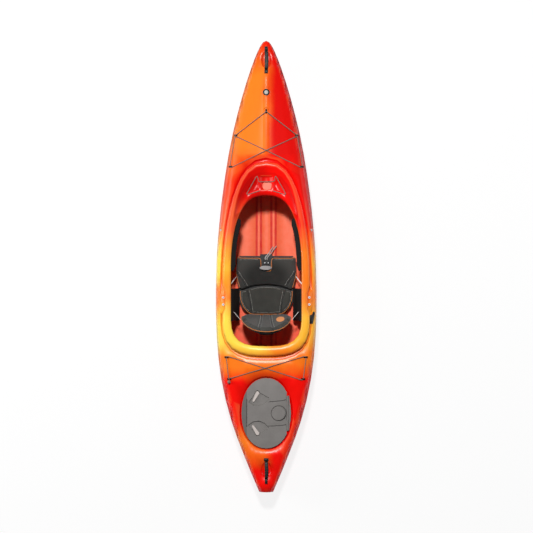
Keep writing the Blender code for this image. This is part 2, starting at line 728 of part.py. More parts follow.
def hull_sheet(bm):
    """Outer skin of the tub: sections skinned from transom to stem."""
    rows = [[bm.verts.new(p) for p in hull_row(y)] for y in HULL_STATIONS]
    for aft, fore in zip(rows, rows[1:]):
        for i in range(len(aft) - 1):
            bm.faces.new((aft[i], aft[i + 1], fore[i + 1], fore[i]))
    tip = bm.verts.new((0.0, BOW_Y, sheer_z(BOW_Y)))
    for a, b in zip(rows[-1], rows[-1][1:]):
        bm.faces.new((a, b, tip))
    bm.faces.new(rows[0])


def build_hull(finish):
    """The tub below the parting line, with its skeg slot and the holes of the rail screws."""
    bm = bmesh.new()
    hull_sheet(bm)
    shell(bm, upwards=False)
    hull = add_mesh("hull", bm, finish)
    slot = bmesh.new()
    block(slot, (-SKEG_SLOT_HALF, SKEG_SLOT[0], -0.010), (SKEG_SLOT_HALF, SKEG_SLOT[1], 0.010))
    boolean(hull, cutter("skeg_slot", slot))
    return hull


def rim_stage(low, high, share, bed_share, level, bed_level):
    """One ring of the cockpit rim; at the seat bolts it moves on to their flat beds."""
    ring = []
    for a, b, edge in zip(low, high, egg_ring(GROOVE_OUTER)):
        bed = bolt_bed(edge[1])
        s = share + (bed_share - share) * bed
        x = a[0] + (b[0] - a[0]) * s
        y = a[1] + (b[1] - a[1]) * s
        plain = rim_z(y) + level[1] if level[0] == "rim" else fair_deck(*edge) + level[1]
        ring.append((x, y, plain + (rim_z(y) + bed_level - plain) * bed))
    return ring


def bolt_bed(y):
    """1 beside the seat bolts, 0 away from them."""
    return smoothstep(y, BED_REAR - BED_BLEND, BED_REAR) * (1.0 - smoothstep(y, BED_FRONT,
                                                                            BED_FRONT + BED_BLEND))


def rim_rings():
    """Rings of the cockpit rim, from the groove's outer edge over the lip to the inner edge."""
    groove = egg_ring(GROOVE_OUTER)
    lip = egg_ring(RIM_LIP)
    crest = egg_ring(RIM_CREST)
    rings = [[(x, y, fair_deck(x, y)) for x, y in groove]]
    for low, high, share, bed_share, level, bed_level in (
            (groove, lip, 0.15, 0.10, ("deck", -0.0045), -0.033),
            (groove, lip, 0.60, 0.25, ("deck", -GROOVE_DEPTH), -0.0265),
            (lip, crest, 0.22, 0.30, ("deck", -0.004), -0.0260),
            (lip, crest, 0.20, 0.34, ("rim", -0.021), -0.0245),
            (lip, crest, 0.00, 0.38, ("rim", -LIP_DROP), -0.0215),
            (lip, crest, 0.06, 0.44, ("rim", -0.010), -0.0170),
            (lip, crest, 0.40, 0.58, ("rim", -0.003), -0.0095)):
        rings.append(rim_stage(low, high, share, bed_share, level, bed_level))
    rings.append([(x, y, rim_z(y)) for x, y in crest])
    rings.append([(x, y, console_base(x, y)) for x, y in egg_ring(RIM_INNER)])
    return rings


def ring_line(dish, share, steps):
    """Closed ring of points in a recess."""
    return [(dish.x + dish.rx * share * math.cos(2.0 * math.pi * i / steps),
             dish.y + dish.ry * share * math.sin(2.0 * math.pi * i / steps)) for i in range(steps)]


def deck_outline():
    """Plan outline of the deck: port side forwards, round the nose, starboard side aft."""
    port = [(-half_beam(y), y) for y in HULL_STATIONS]
    starboard = [(half_beam(y), y) for y in reversed(HULL_STATIONS)]
    edge = deck_edge(TRANSOM_Y)
    return port + [(0.0, BOW_Y)] + starboard + [(edge, TRANSOM_Y), (0.0, TRANSOM_Y),
                                                (-edge, TRANSOM_Y)]


def deck_features():
    """Lines and points that the deck's facets follow: edges, crease, recesses and spread points."""
    lines = []
    for side in (-1.0, 1.0):
        lines.append([(side * deck_edge(y), y) for y in HULL_STATIONS])
    lines.append([(0.0, y) for y in HULL_STATIONS if y > GROOVE_OUTER.front + 0.02])
    for dish in DISHES:
        for share in (1.0, 0.93, 0.62):
            ring = ring_line(dish, share, DISH_STEPS)
            lines.append(ring + ring[:1])
    points = []
    for y in HULL_STATIONS[1:-2]:
        for share in (0.0, 0.35, 0.7):
            for side in (-1.0, 1.0):
                points.append((side * share * deck_edge(y), y))
        for side in (-1.0, 1.0):
            points.append((side * (deck_edge(y) + 0.5 * edge_inset(y)), y))
    keep = [p for p in points if egg_level(GROOVE_OUTER, *p) > 1.06 and clear_of_recesses(p)]
    return lines, keep


def clear_of_recesses(point):
    """True outside the hatch recess and the handle recesses."""
    x, y = point
    if (x / HATCH_RECESS.half_x) ** 2 + ((y - HATCH_Y) / HATCH_RECESS.half_y) ** 2 < 1.15:
        return False
    return all(((x - d.x) / d.rx) ** 2 + ((y - d.y) / d.ry) ** 2 > 1.2 for d in DISHES)


def console_z(x, y):
    """Height of the console with its two trays and the trough between them."""
    height = console_base(x, y)
    for outline in console_pockets():
        if inside((x, y), shrunk(outline, TRAY_DRAFT * 0.5)):
            return height - TRAY_DEPTH
    return height


def deck_sheet(bm):
    """Outer skin of the deck: fair surface, cockpit rim, console and hatch recess."""
    rings = rim_rings()
    recess = oval_ring(HATCH_RECESS)
    lines, points = deck_features()
    outline = deck_outline()
    fill_outline(bm, outline, [egg_ring(GROOVE_OUTER), recess], lines, points, deck_z)
    strip(bm, rings)
    opening = [(x, y, console_base(x, y)) for x, y in egg_ring(OPENING)]
    lines = []
    for pocket in console_pockets():
        for line in (pocket, shrunk(pocket, TRAY_DRAFT)):
            lines.append(line + line[:1])
    for share in (0.15, 0.8, 0.9):
        ring = between(egg_ring(OPENING), egg_ring(RIM_INNER), share)
        lines.append([p for p in ring if p[1] > 0.36])
    fill_outline(bm, egg_ring(RIM_INNER), [egg_ring(OPENING)], lines, [], console_z)
    strip(bm, [opening, [(x, y, z - OPENING_TURN_DOWN) for x, y, z in opening]])
    floor = [(x, y, HATCH_FLOOR_Z) for x, y in oval_ring(HATCH_FLOOR)]
    hole = [(x, y, HATCH_FLOOR_Z) for x, y in oval_ring(HATCH_HOLE_TOP)]
    edge = [(x, y, HATCH_FLOOR_Z - 0.003) for x, y in oval_ring(HATCH_HOLE)]
    turned_down = [(x, y, HATCH_FLOOR_Z - HATCH_HOLE_TURN_DOWN) for x, y in oval_ring(HATCH_HOLE)]
    strip(bm, [[(x, y, deck_z(x, y)) for x, y in recess], floor, hole, edge, turned_down])
    bmesh.ops.remove_doubles(bm, verts=bm.verts, dist=WELD)
    aft = [v for v in bm.verts if v.co.y < TRANSOM_Y + WELD]
    bm.faces.new(sorted(aft, key=lambda v: v.co.x))


def build_deck(finish):
    """Everything above the parting line, with the holes of the seat bolts."""
    bm = bmesh.new()
    deck_sheet(bm)
    shell(bm, upwards=True)
    bmesh.ops.translate(bm, verts=bm.verts, vec=(0.0, 0.0, GAP))
    deck = add_mesh("deck", bm, finish, sharp=30.0)
    for side in (-1.0, 1.0):
        for i, y in enumerate(SEAT_BOLT_Y):
            hole = bmesh.new()
            rod(hole, (side * SEAT_BOLT_X, y, 0.25), (side * SEAT_BOLT_X, y, 0.33),
                SEAT_BOLT_R + GAP, sides=10)
            boolean(deck, cutter("bolt_hole_%d_%d" % (side, i), hole))
    return deck


def solid(maker, *shape, **options):
    """A bmesh holding one basic shape."""
    bm = bmesh.new()
    maker(bm, *shape, **options)
    return bm


def compose(name, finish, shapes, cuts=(), parent=None, sharp=40.0):
    """One object joined from overlapping shapes, with other shapes cut from it."""
    made = add_mesh(name, shapes[0], finish, parent, sharp)
    for i, shape in enumerate(shapes[1:]):
        boolean(made, cutter("%s_join_%d" % (name, i), shape), "UNION")
    for i, shape in enumerate(cuts):
        boolean(made, cutter("%s_cut_%d" % (name, i), shape))
    return made


def both_sides(half):
    """Closed outline from its starboard half, listed counter-clockwise."""
    return list(half) + [(-x, y) for x, y in reversed(half) if x > 0.0]


def axes(origin, x_axis, y_axis, z_axis):
    """Matrix from three directions and an origin."""
    made = Matrix.Identity(4)
    for column, axis in enumerate((x_axis, y_axis, z_axis, origin)):
        made.col[column][:3] = tuple(axis)
    return made


def sweep(bm, path, section, up):
    """Carry a section along a path; the section's second axis leans towards up."""
    path = [Vector(p) for p in path]
    rings = []
    for i, here in enumerate(path):
        along = (path[min(i + 1, len(path) - 1)] - path[max(i - 1, 0)]).normalized()
        side = along.cross(Vector(up)).normalized()
        rise = side.cross(along)
        rings.append([here + side * a + rise * b for a, b in section])
    loft(bm, rings)


def circle(radius, steps=10):
    """Section of a round bar."""
    return [(radius * math.cos(2.0 * math.pi * i / steps), radius * math.sin(2.0 * math.pi * i / steps))
            for i in range(steps)]


def offset_line(points, distance):
    """A line moved sideways, to its left, with mitred corners."""
    moved = []
    for i, point in enumerate(points):
        here = Vector(point)
        before = (here - Vector(points[i - 1])).normalized() if i > 0 else None
        after = (Vector(points[i + 1]) - here).normalized() if i < len(points) - 1 else None
        if before is None or after is None:
            along = after or before
            moved.append(tuple(here + Vector((-along.y, along.x)) * distance))
            continue
        left = Vector((-before.y - after.y, before.x + after.x)).normalized()
        share = max(left.dot(Vector((-before.y, before.x))), 0.5)
        moved.append(tuple(here + left * distance / share))
    return moved


def distance_to(point, line):
    """Distance from a point to a line of points."""
    here = Vector(point)
    best = 1e9
    for a, b in zip(line, line[1:]):
        a = Vector(a)
        b = Vector(b)
        along = b - a
        t = min(max((here - a).dot(along) / along.length_squared, 0.0), 1.0)
        best = min(best, (a + along * t - here).length)
    return best


def pillow(bm, outline, seams, height, place):
    """Stuffed cushion on an outline: crowned top, drawn-in sides and sewn channels."""
    closed = list(outline) + [outline[0]]

    def top(x, y):
        reach = min(distance_to((x, y), closed) / CUSHION_ROUND, 1.0)
        sewn = min((distance_to((x, y), seam) for seam in seams), default=1.0)
        drop = CUSHION_EDGE_DROP * (1.0 - math.sqrt(max(1.0 - (1.0 - reach) ** 2, 0.0)))
        channel = CHANNEL_DEPTH * (1.0 - smoothstep(sewn, 0.0, CHANNEL_HALF)) * reach
        return height - drop - channel

    lines = [list(seam) for seam in seams]
    for seam in seams:
        lines += [offset_line(seam, CHANNEL_HALF), offset_line(seam, -CHANNEL_HALF)]
    inner = shrunk(outline, CUSHION_ROUND)
    lines.append(inner + inner[:1])
    lines = [clipped for line in lines for clipped in clip_line(line, outline)]
    xs = [p[0] for p in outline]
    ys = [p[1] for p in outline]
    points = []
    columns = int((max(xs) - min(xs)) / CUSHION_GRID)
    rows = int((max(ys) - min(ys)) / CUSHION_GRID)
    for i in range(1, columns):
        for j in range(1, rows):
            point = (min(xs) + (max(xs) - min(xs)) * i / columns, min(ys) + (max(ys) - min(ys)) * j / rows)
            sewn = min((distance_to(point, seam) for seam in seams), default=1.0)
            if inside(point, inner) and sewn > CHANNEL_HALF * 1.3:
                points.append(point)
    fill_outline(bm, outline, [], lines, points, top)
    fill_outline(bm, shrunk(outline, CUSHION_TUCK), [], [], [], lambda x, y: 0.0)
    edge = height - CUSHION_EDGE_DROP
    tucked = [(x, y, 0.0) for x, y in shrunk(outline, CUSHION_TUCK)]
    middle = [(x, y, edge * 0.5) for x, y in shrunk(outline, -CUSHION_TUCK * 0.5)]
    strip(bm, [tucked, middle, [(x, y, top(x, y)) for x, y in outline]])
    bmesh.ops.remove_doubles(bm, verts=bm.verts, dist=WELD)
    bmesh.ops.transform(bm, matrix=place, verts=bm.verts)


def clip_line(line, outline):
    """Runs of a line's points that lie well inside an outline."""
    closed = list(outline) + [outline[0]]
    runs = [[]]
    for a, b in zip(line, line[1:]):
        steps = max(int(math.dist(a, b) / CUSHION_GRID), 1)
        for k in range(steps + 1):
            point = tuple(p + (q - p) * k / steps for p, q in zip(a, b))
            if inside(point, outline) and distance_to(point, closed) > CUSHION_ROUND * 0.4:
                if not runs[-1] or math.dist(runs[-1][-1], point) > CUSHION_ROUND * 0.3:
                    runs[-1].append(point)
            elif runs[-1]:
                runs.append([])
    return [run for run in runs if len(run) > 1]


class Ground:
    """The deck's upper surface, on which fittings are seated."""

    def __init__(self, deck):
        self.tree = BVHTree.FromObject(deck, bpy.context.evaluated_depsgraph_get())

    def hit(self, x, y):
        """Height and normal of the surface under a point."""
        place, normal, _, _ = self.tree.ray_cast(Vector((x, y, 1.0)), Vector((0.0, 0.0, -1.0)))
        return place.z, normal

    def top(self, x, y):
        """Height of the surface under a point."""
        return self.hit(x, y)[0]

    def highest(self, outline):
        """Highest point of the surface under an outline."""
        closed = list(outline) + [outline[0]]
        return max(self.top(a[0] + (b[0] - a[0]) * k / 4.0, a[1] + (b[1] - a[1]) * k / 4.0)
                   for a, b in zip(closed, closed[1:]) for k in range(4))

    def frame(self, x, y):
        """Axes on the surface: outboard, forward and out of the deck."""
        height, normal = self.hit(x, y)
        ahead = (Vector((0.0, 1.0, 0.0)) - normal * normal.y).normalized()
        across = ahead.cross(normal)
        if x < 0.0:
            across = -across
        return axes((x, y, height), across, ahead, normal)


def seated_pad(bm, ground, x, y, half_x, half_y, height):
    """Low rounded pad whose underside follows the deck."""
    rings = []
    for v in (-1.0, -0.6, 0.0, 0.6, 1.0):
        rise = height * (1.0 - 0.45 * abs(v) ** 4)
        under = []
        over = []
        for u in (-1.0, -0.5, 0.0, 0.5, 1.0):
            at = (x + half_x * u, y + half_y * v)
            floor = ground.top(*at)
            under.append((*at, floor + SEAT_CLEAR))
            over.append((x + half_x * u * 0.9, at[1], floor + SEAT_CLEAR + rise * (1.0 - 0.4 * u ** 4)))
        rings.append(under + over[::-1])
    loft(bm, rings)


def build_handles(ground, strap_finish, cap_finish):
    """Carry handles at both ends, over their finger recesses."""
    for name, caps in (("bow_handle", BOW_CAPS), ("stern_handle", STERN_CAPS)):
        for cap, (y, half_x, half_y) in caps.items():
            bm = bmesh.new()
            seated_pad(bm, ground, 0.0, y, half_x, half_y, CAP_HEIGHT)
            add_mesh(cap, bm, cap_finish)
        rear, front = sorted(caps.values())
        high = front[0] - front[2] - STRAP_END_GAP
        low = rear[0] + rear[2] + STRAP_END_GAP
        ends = [ground.top(0.0, y) + SEAT_CLEAR + STRAP_THICK / 2.0 + STRAP_SIT for y in (low, high)]
        path = []
        for k in range(STRAP_STEPS + 1):
            t = k / STRAP_STEPS
            path.append((STRAP_SWAY * math.sin(math.pi * t), low + (high - low) * t,
                         ends[0] + (ends[1] - ends[0]) * t + STRAP_ARCH * math.sin(math.pi * t) ** 0.7))
        half = STRAP_THICK / 2.0
        section = [(-STRAP_HALF, -half * 0.5), (-STRAP_HALF * 0.8, -half), (STRAP_HALF * 0.8, -half),
                   (STRAP_HALF, -half * 0.5), (STRAP_HALF, half * 0.5), (STRAP_HALF * 0.8, half),
                   (-STRAP_HALF * 0.8, half), (-STRAP_HALF, half * 0.5)]
        add_mesh(name, solid(sweep, path, section, (0.0, 0.0, 1.0)), strap_finish)


def eye_arch(bm, place):
    """Bent wire of a pad eye, spanning its X axis."""
    path = [(-EYE_LEG_X, 0.0, 0.001), (-EYE_LEG_X, 0.0, 0.0090), (-0.0085, 0.0, EYE_TOP),
            (0.0085, 0.0, EYE_TOP), (EYE_LEG_X, 0.0, 0.0090), (EYE_LEG_X, 0.0, 0.001)]
    wire = [(-EYE_WIRE, -EYE_WIRE), (EYE_WIRE, -EYE_WIRE), (EYE_WIRE, EYE_WIRE), (-EYE_WIRE, EYE_WIRE)]
    sweep(bm, [place @ Vector(p) for p in path], wire, place.to_3x3() @ Vector((0.0, 1.0, 0.0)))


def build_eyes(ground, finish):
    """Pad eyes of both deck bungees; returns the axes of each."""
    frames = {}
    for name, (x, y) in {**BOW_EYES, **STERN_EYES}.items():
        frame = ground.frame(x, y)
        if x == 0.0:
            frame = axes((x, y, ground.top(x, y)), (0.0, 1.0, 0.0), (-1.0, 0.0, 0.0), (0.0, 0.0, 1.0))
        frames[name] = frame
        base = bmesh.new()
        if x == 0.0:
            seated_pad(base, ground, x, y, EYE_BASE[1], EYE_BASE[0], EYE_BASE[2])
        else:
            corners = rounded([(-EYE_BASE[0], -EYE_BASE[1]), (EYE_BASE[0], -EYE_BASE[1]),
                               (EYE_BASE[0], EYE_BASE[1]), (-EYE_BASE[0], EYE_BASE[1])], 0.004)
            prism(base, corners, SEAT_CLEAR, EYE_BASE[2] + SEAT_CLEAR, frame)
        compose(name, finish, [base, solid(eye_arch, frame)])
    return frames


def drape(ground, start, end, radius, over=None):
    """Points of a taut cord laid over the deck between two points, above another cord at over."""
    start = Vector(start)
    end = Vector(end)
    length = math.dist(start[:2], end[:2])
    line = [(0.0, start.z)]
    for k in range(1, DRAPE_STEPS):
        t = k / DRAPE_STEPS
        x = start.x + (end.x - start.x) * t
        y = start.y + (end.y - start.y) * t
        height, normal = ground.hit(x, y)
        lift = (radius + CORD_CLEAR) / max(normal.z, 0.5)
        if over is not None and math.dist((x, y), over) < radius * 4.0:
            lift += 2.0 * radius + CORD_CLEAR
        line.append((length * t, height + lift))
    line.append((length, end.z))
    hull = []
    for point in line:
        while len(hull) > 1 and ((hull[-1][0] - hull[-2][0]) * (point[1] - hull[-2][1])
                                 >= (hull[-1][1] - hull[-2][1]) * (point[0] - hull[-2][0])):
            hull.pop()
        hull.append(point)
    kept = [p for p in hull[1:-1] if radius * 3.0 < p[0] < length - radius * 3.0]
    return [Vector((start.x + (end.x - start.x) * s / length, start.y + (end.y - start.y) * s / length, z))
            for s, z in kept]


def laced(ground, stops, radius, over_run, over):
    """Route of a bungee: its points at each eye, joined by draped runs; one run goes over another."""
    route = list(stops[0])
    for i, stop in enumerate(stops[1:]):
        route += drape(ground, route[-1], stop[0], radius, over if i == over_run else None) + stop
    return route


def at_eye(frame, spots):
    """Points of a cord at an eye, from spots (outboard, ahead) in the eye's own axes."""
    return [frame @ Vector((x, y, EYE_CORD_H)) for x, y in spots]


def build_bungees(ground, frames, cord_finish):
    """Shock cords laced across the bow and stern decks; the stern one's ends meet in a ball stop."""
    straight = [(0.0045, 0.012), (0.0045, -0.012)]
    wrap = [(-0.0145, 0.0070), (-0.0055, 0.0055), (-0.0030, 0.0), (-0.0055, -0.0055), (-0.0145, -0.0075)]
    turn = [(0.001, 0.009), (0.0, 0.0), (-0.0035, -0.0058), (-0.0125, -0.0060), (-0.0185, -0.0040)]
    front_turn = [(x, -y) for x, y in turn]
    middle = [(-0.0105, 0.0115), (-0.0035, 0.0055), (-0.0020, 0.0), (-0.0035, -0.0055),
              (-0.0105, -0.0115)]
    mid_r = frames["bow_eye_mid_R"]
    mid_l = frames["bow_eye_mid_L"]
    stops = [at_eye(mid_r, straight), at_eye(frames["bow_eye_rear_R"], turn),
             at_eye(mid_l, wrap[::-1]), at_eye(frames["bow_eye_center"], middle),
             at_eye(mid_r, wrap), at_eye(frames["bow_eye_rear_L"], turn[::-1]),
             at_eye(mid_l, straight[::-1])]
    cross = (0.0, (stops[1][-1].y + stops[2][0].y) / 2.0)
    tube("bow_bungee", laced(ground, stops, BUNGEE / 2.0, 4, cross), BUNGEE,
         cord_finish)
    rear_l = frames["stern_eye_rear_L"]
    leave = [(0.0045, -0.0175), (0.0045, 0.012)]
    arrive = [(-0.0160, 0.0072), (-0.0075, 0.0068), (-0.0035, 0.0015), (-0.0035, -0.0175)]
    stops = [at_eye(rear_l, leave), at_eye(frames["stern_eye_front_L"], front_turn),
             at_eye(frames["stern_eye_rear_R"], turn[::-1]),
             at_eye(frames["stern_eye_front_R"], front_turn), at_eye(rear_l, arrive)]
    cross = (0.0, (stops[1][-1].y + stops[2][0].y) / 2.0)
    cord = meshed(tube("stern_bungee", laced(ground, stops, BUNGEE / 2.0, 3, cross), BUNGEE, cord_finish))
    ball = bmesh.new()
    place = rear_l @ Matrix.Translation((0.0005, -0.0210, BALL_R + SEAT_CLEAR))
    bmesh.ops.create_icosphere(ball, subdivisions=2, radius=BALL_R, matrix=place)
    boolean(cord, cutter("bungee_ball", ball), "UNION")


def build_console_cord(ground, finish):
    """One shock cord over both trays of the console and across its trough."""
    radius = CONSOLE_CORD / 2.0
    lifted = []
    for x, y in CONSOLE_CORD_ROUTE:
        height, normal = ground.hit(x, y)
        lifted.append(Vector((x, y, height + (radius + CORD_CLEAR) / normal.z)))
    route = [lifted[0]]
    for a, b in zip(lifted, lifted[1:]):
        route += drape(ground, a, b, radius) + [b]
    tube("console_cord", soft_corners(route), CONSOLE_CORD, finish)


def soft_corners(route):
    """Route whose sharp turns are rounded."""
    points = [route[0]]
    for before, here, after in zip(route, route[1:], route[2:]):
        back = before - here
        ahead = after - here
        if back.normalized().dot(ahead.normalized()) < -0.75:
            points.append(here)
            continue
        cut = min(back.length * 0.6, ahead.length * 0.6, CORD_TURN)
        start = here + back.normalized() * cut
        end = here + ahead.normalized() * cut
        for k in range(TURN_STEPS + 1):
            t = k / TURN_STEPS
            points.append(start * (1.0 - t) ** 2 + here * (2.0 * t * (1.0 - t)) + end * t * t)
    return points + [route[-1]]


def build_thigh_pads(finish):
    """Foam pads under both sides of the opening's edge."""
    section = ((-0.004, -0.0228), (0.005, -0.0228), (0.030, -0.034), (0.038, -0.044),
               (0.034, -0.052), (0.018, -0.050), (-0.004, -0.040))
    for side, tag in ((-1.0, "L"), (1.0, "R")):
        rings = []
        for k in range(THIGH_PAD_STEPS + 1):
            y = THIGH_PAD_Y[0] + (THIGH_PAD_Y[1] - THIGH_PAD_Y[0]) * k / THIGH_PAD_STEPS
            x = opening_half(y)
            slope = (opening_half(y + 0.01) - opening_half(y - 0.01)) / 0.02
            inward = Vector((-1.0, slope)).normalized()
            level = console_base(x, y) + GAP
            end = min(k, THIGH_PAD_STEPS - k)
            fade = 0.6 if end == 0 else 1.0
            rings.append([(side * (x + inward.x * n * fade), y + inward.y * n * fade,
                           level - 0.0228 + (z + 0.0228) * fade) for n, z in section])
        add_mesh("thigh_pad_" + tag, solid(loft, rings), finish)


def opening_half(y):
    """Half-width of the opening in its front part."""
    along = max(y - OPENING.wide_front, 0.0) / (OPENING.front - OPENING.wide_front)
    return OPENING.half * (1.0 - along ** EGG_FRONT_LENGTH_POWER) ** (1.0 / OPENING.front_power)


def rail_frame(side):
    """Axes of a foot rail: along it, inboard from the hull's side, up."""
    start = Vector((side * RAIL_START[0], RAIL_START[1], RAIL_Z))
    end = Vector((side * RAIL_END[0], RAIL_END[1], RAIL_Z))
    along = (end - start).normalized()
    inward = Vector((-side * along.y, side * along.x, 0.0))
    return axes(start, along, inward, (0.0, 0.0, 1.0)), (end - start).length


def build_foot_braces(hull, rail_finish, pedal_finish):
    """Rails bolted through the hull's sides, each with a sliding pedal."""
    for side, tag in ((-1.0, "L"), (1.0, "R")):
        frame, length = rail_frame(side)
        tall = RAIL_TALL / 2.0
        base = solid(framed_block, frame, (0.0, 0.0, -tall), (length, 0.005, tall))
        web = solid(framed_block, frame, (0.0, 0.004, -0.007), (length, RAIL_DEEP, 0.007))
        studs = []
        for i, s in enumerate(RAIL_STUDS):
            bolt = [(RAIL_STUD_R, 0.006), (RAIL_STUD_R, -RAIL_STUD_OUT), (0.008, -RAIL_STUD_OUT),
                    (0.008, -RAIL_STUD_OUT - 0.002), (0.005, -RAIL_STUD_OUT - 0.0035)]
            turn = frame @ Matrix.Translation((s, 0.0, 0.0)) @ Matrix.Rotation(-math.pi / 2.0, 4, "X")
            studs.append(solid(turned, bolt, turn, sides=12))
            hole = solid(rod, frame @ Vector((s, 0.004, 0.0)), frame @ Vector((s, -0.03, 0.0)),
                         RAIL_STUD_R + GAP, sides=10)
            boolean(hull, cutter("rail_hole_%s_%d" % (tag, i), hole))
        compose("foot_rail_" + tag, rail_finish, [base, web] + studs)
        centre = frame @ Vector((PEDAL_AT, 0.0, 0.0))
        slide = pivot("pedal_slide_" + tag, centre)
        half = PEDAL_LENGTH / 2.0
        body = solid(framed_block, frame, (PEDAL_AT - half, 0.0062, -tall - 0.005),
                     (PEDAL_AT + half, 0.028, tall + 0.005))
        plate_outline = rounded([(0.024, -0.065), (0.100, -0.065), (0.100, 0.060), (0.024, 0.060)], 0.016)
        spin = frame @ Matrix.Translation((PEDAL_AT, 0.0, 0.0)) @ Matrix(
            ((0.0, 0.0, 1.0, 0.0), (1.0, 0.0, 0.0, 0.0), (0.0, 1.0, 0.0, 0.0), (0.0, 0.0, 0.0, 1.0)))
        plate = solid(prism, plate_outline, -0.006, 0.006, spin)
        cut_low = solid(framed_block, frame, (PEDAL_AT - half - 0.01, 0.0, -tall - GAP * 2.0),
                        (PEDAL_AT + half + 0.01, 0.0056 + GAP, tall + GAP * 2.0))
        cut = solid(framed_block, frame, (PEDAL_AT - half - 0.01, -0.01, -0.0075),
                    (PEDAL_AT + half + 0.01, RAIL_DEEP + GAP * 2.0, 0.0075))
        compose("foot_pedal_" + tag, pedal_finish, [body, plate], [cut_low, cut], slide)


def framed_block(bm, frame, low, high):
    """Box between two corners in a frame of its own."""
    outline = [(low[0], low[1]), (high[0], low[1]), (high[0], high[1]), (low[0], high[1])]
    prism(bm, outline, low[2], high[2], frame)


def build_brace_screws(deck, ground, finish):
    """Screws through the deck's flank that hold the thigh pads' brackets."""
    for side, tag in ((-1.0, "L"), (1.0, "R")):
        frame = ground.frame(side * BRACE_SCREW[0], BRACE_SCREW[1])
        profile = [(0.003, -0.012), (0.003, SEAT_CLEAR), (0.008, SEAT_CLEAR), (0.008, 0.002), (0.004, 0.0035)]
        add_mesh("brace_screw_" + tag, solid(turned, profile, frame), finish)
        hole = solid(rod, frame @ Vector((0.0, 0.0, 0.01)), frame @ Vector((0.0, 0.0, -0.02)),
                     0.003 + GAP, sides=10)
        boolean(deck, cutter("brace_hole_" + tag, hole))


def build_hangers(hanger_finish, bolt_finish):
    """Bent side plates that hang the seat from the cockpit rim, and their bolts."""
    for side, tag in ((-1.0, "L"), (1.0, "R")):
        half = HANGER_THICK / 2.0
        outline = offset_line(HANGER_PROFILE, half) + offset_line(HANGER_PROFILE, -half)[::-1]
        place = axes((0.0, 0.0, 0.0), (side, 0.0, 0.0), (0.0, 0.0, 1.0), (0.0, 1.0, 0.0))
        plate = solid(prism, outline, HANGER_Y[0], HANGER_Y[1], place)
        level = HANGER_PROFILE[0][1]
        flange = solid(prism, [(x, y) for x in FLANGE_X for y in FLANGE_Y[::1 if x == FLANGE_X[0] else -1]],
                       level - half, level + half, Matrix.Scale(side, 4, (1.0, 0.0, 0.0)))
        holes = [solid(rod, (side * SEAT_BOLT_X, y, 0.26), (side * SEAT_BOLT_X, y, 0.29),
                       SEAT_BOLT_R + GAP, sides=10) for y in SEAT_BOLT_Y]
        compose("seat_hanger_" + tag, hanger_finish, [plate, flange], holes)
        for y, end in zip(SEAT_BOLT_Y, ("front", "rear")):
            top = rim_z(y) - BED_DROP + GAP + SEAT_CLEAR
            profile = [(SEAT_BOLT_R, SEAT_BOLT_END_Z), (SEAT_BOLT_R, top), (SEAT_BOLT_HEAD_R, top),
                       (SEAT_BOLT_HEAD_R, top + 0.002), (SEAT_BOLT_HEAD_R * 0.6, top + 0.004)]
            bolt = solid(turned, profile, Matrix.Translation((side * SEAT_BOLT_X, y, 0.0)))
            add_mesh("seat_bolt_%s_%s" % (tag, end), bolt, bolt_finish)


def build_seat(pan_finish, pad_finish, cord_finish, handle_finish):
    """Seat pan, hinged leg lift, cushions, pull cords, cleat and handle."""
    outline = both_sides(PAN_OUTLINE)
    hollow = offset_outline(outline, PAN_WALL)
    ears = []
    for side in (-1.0, 1.0):
        x = side * EAR_X
        ears.append(solid(block, (x - 0.003, -0.367, 0.044), (x + 0.003, -0.342, 0.0595)))
        ears.append(solid(block, (x - 0.0031, -0.3671, 0.058), (x + 0.0031, -0.3475, 0.089)))
    compose("seat_pan", pan_finish, [solid(prism, outline, *PAN_Z)] + ears,
            [solid(prism, hollow, PAN_Z[0] - 0.01, PAN_Z[1] - PAN_WALL),
             solid(rod, (-0.1, *BACK_HINGE), (0.1, *BACK_HINGE), BACK_PIN_R + GAP, sides=12)])
    lift = pivot("leg_lift", (0.0, *LIFT_HINGE))
    add_mesh("leg_lift_plate", solid(prism, both_sides(LIFT_OUTLINE), *LIFT_Z), pan_finish, lift)
    bm = bmesh.new()
    seams = [THIGH_SEAM, mirrored(THIGH_SEAM)]
    pillow(bm, both_sides(THIGH_OUTLINE), seams, CUSHION_HEIGHT,
           Matrix.Translation((0.0, 0.0, LIFT_Z[1] + GAP)))
    for v in bm.verts:
        if v.co.y < THIGH_OUTLINE[0][1] + 0.004:
            v.co.y += THIGH_REAR_LEAN * (v.co.z - LIFT_Z[1]) / CUSHION_HEIGHT
    add_mesh("thigh_cushion", bm, pad_finish, lift)
    bm = bmesh.new()
    pillow(bm, both_sides(SEAT_OUTLINE), [SEAT_SEAM, mirrored(SEAT_SEAM)], CUSHION_HEIGHT,
           Matrix.Translation((0.0, 0.0, PAN_Z[1] + GAP)))
    add_mesh("seat_cushion", bm, pad_finish)
    low = LIFT_Z[1] + GAP
    x, rear, front, tall = CLEAT_BLOCK
    add_mesh("cord_cleat", solid(block, (-x, rear, low), (x, front, low + tall), bevel=0.003),
             pan_finish, lift)
    bm = bmesh.new()
    rings = []
    for scale, z in HANDLE_RINGS:
        rings.append([(HANDLE_AT[0] + HANDLE_HALF[0] * scale * c, HANDLE_AT[1] + HANDLE_HALF[1] * scale * s, z)
                      for c, s in circle(1.0, 20)])
    loft(bm, rings)
    add_mesh("pull_handle", bm, handle_finish, lift)
    for name, corners in PULL_CORD_ROUTES.items():
        tube(name, smooth_route(corners, PULL_CORD * 1.2), PULL_CORD, cord_finish, parent=lift)


def offset_outline(outline, distance):
    """Closed outline moved inwards by a wall; the outline runs counter-clockwise."""
    wrapped = [outline[-1]] + list(outline) + [outline[0]]
    return offset_line(wrapped, distance)[1:-1]


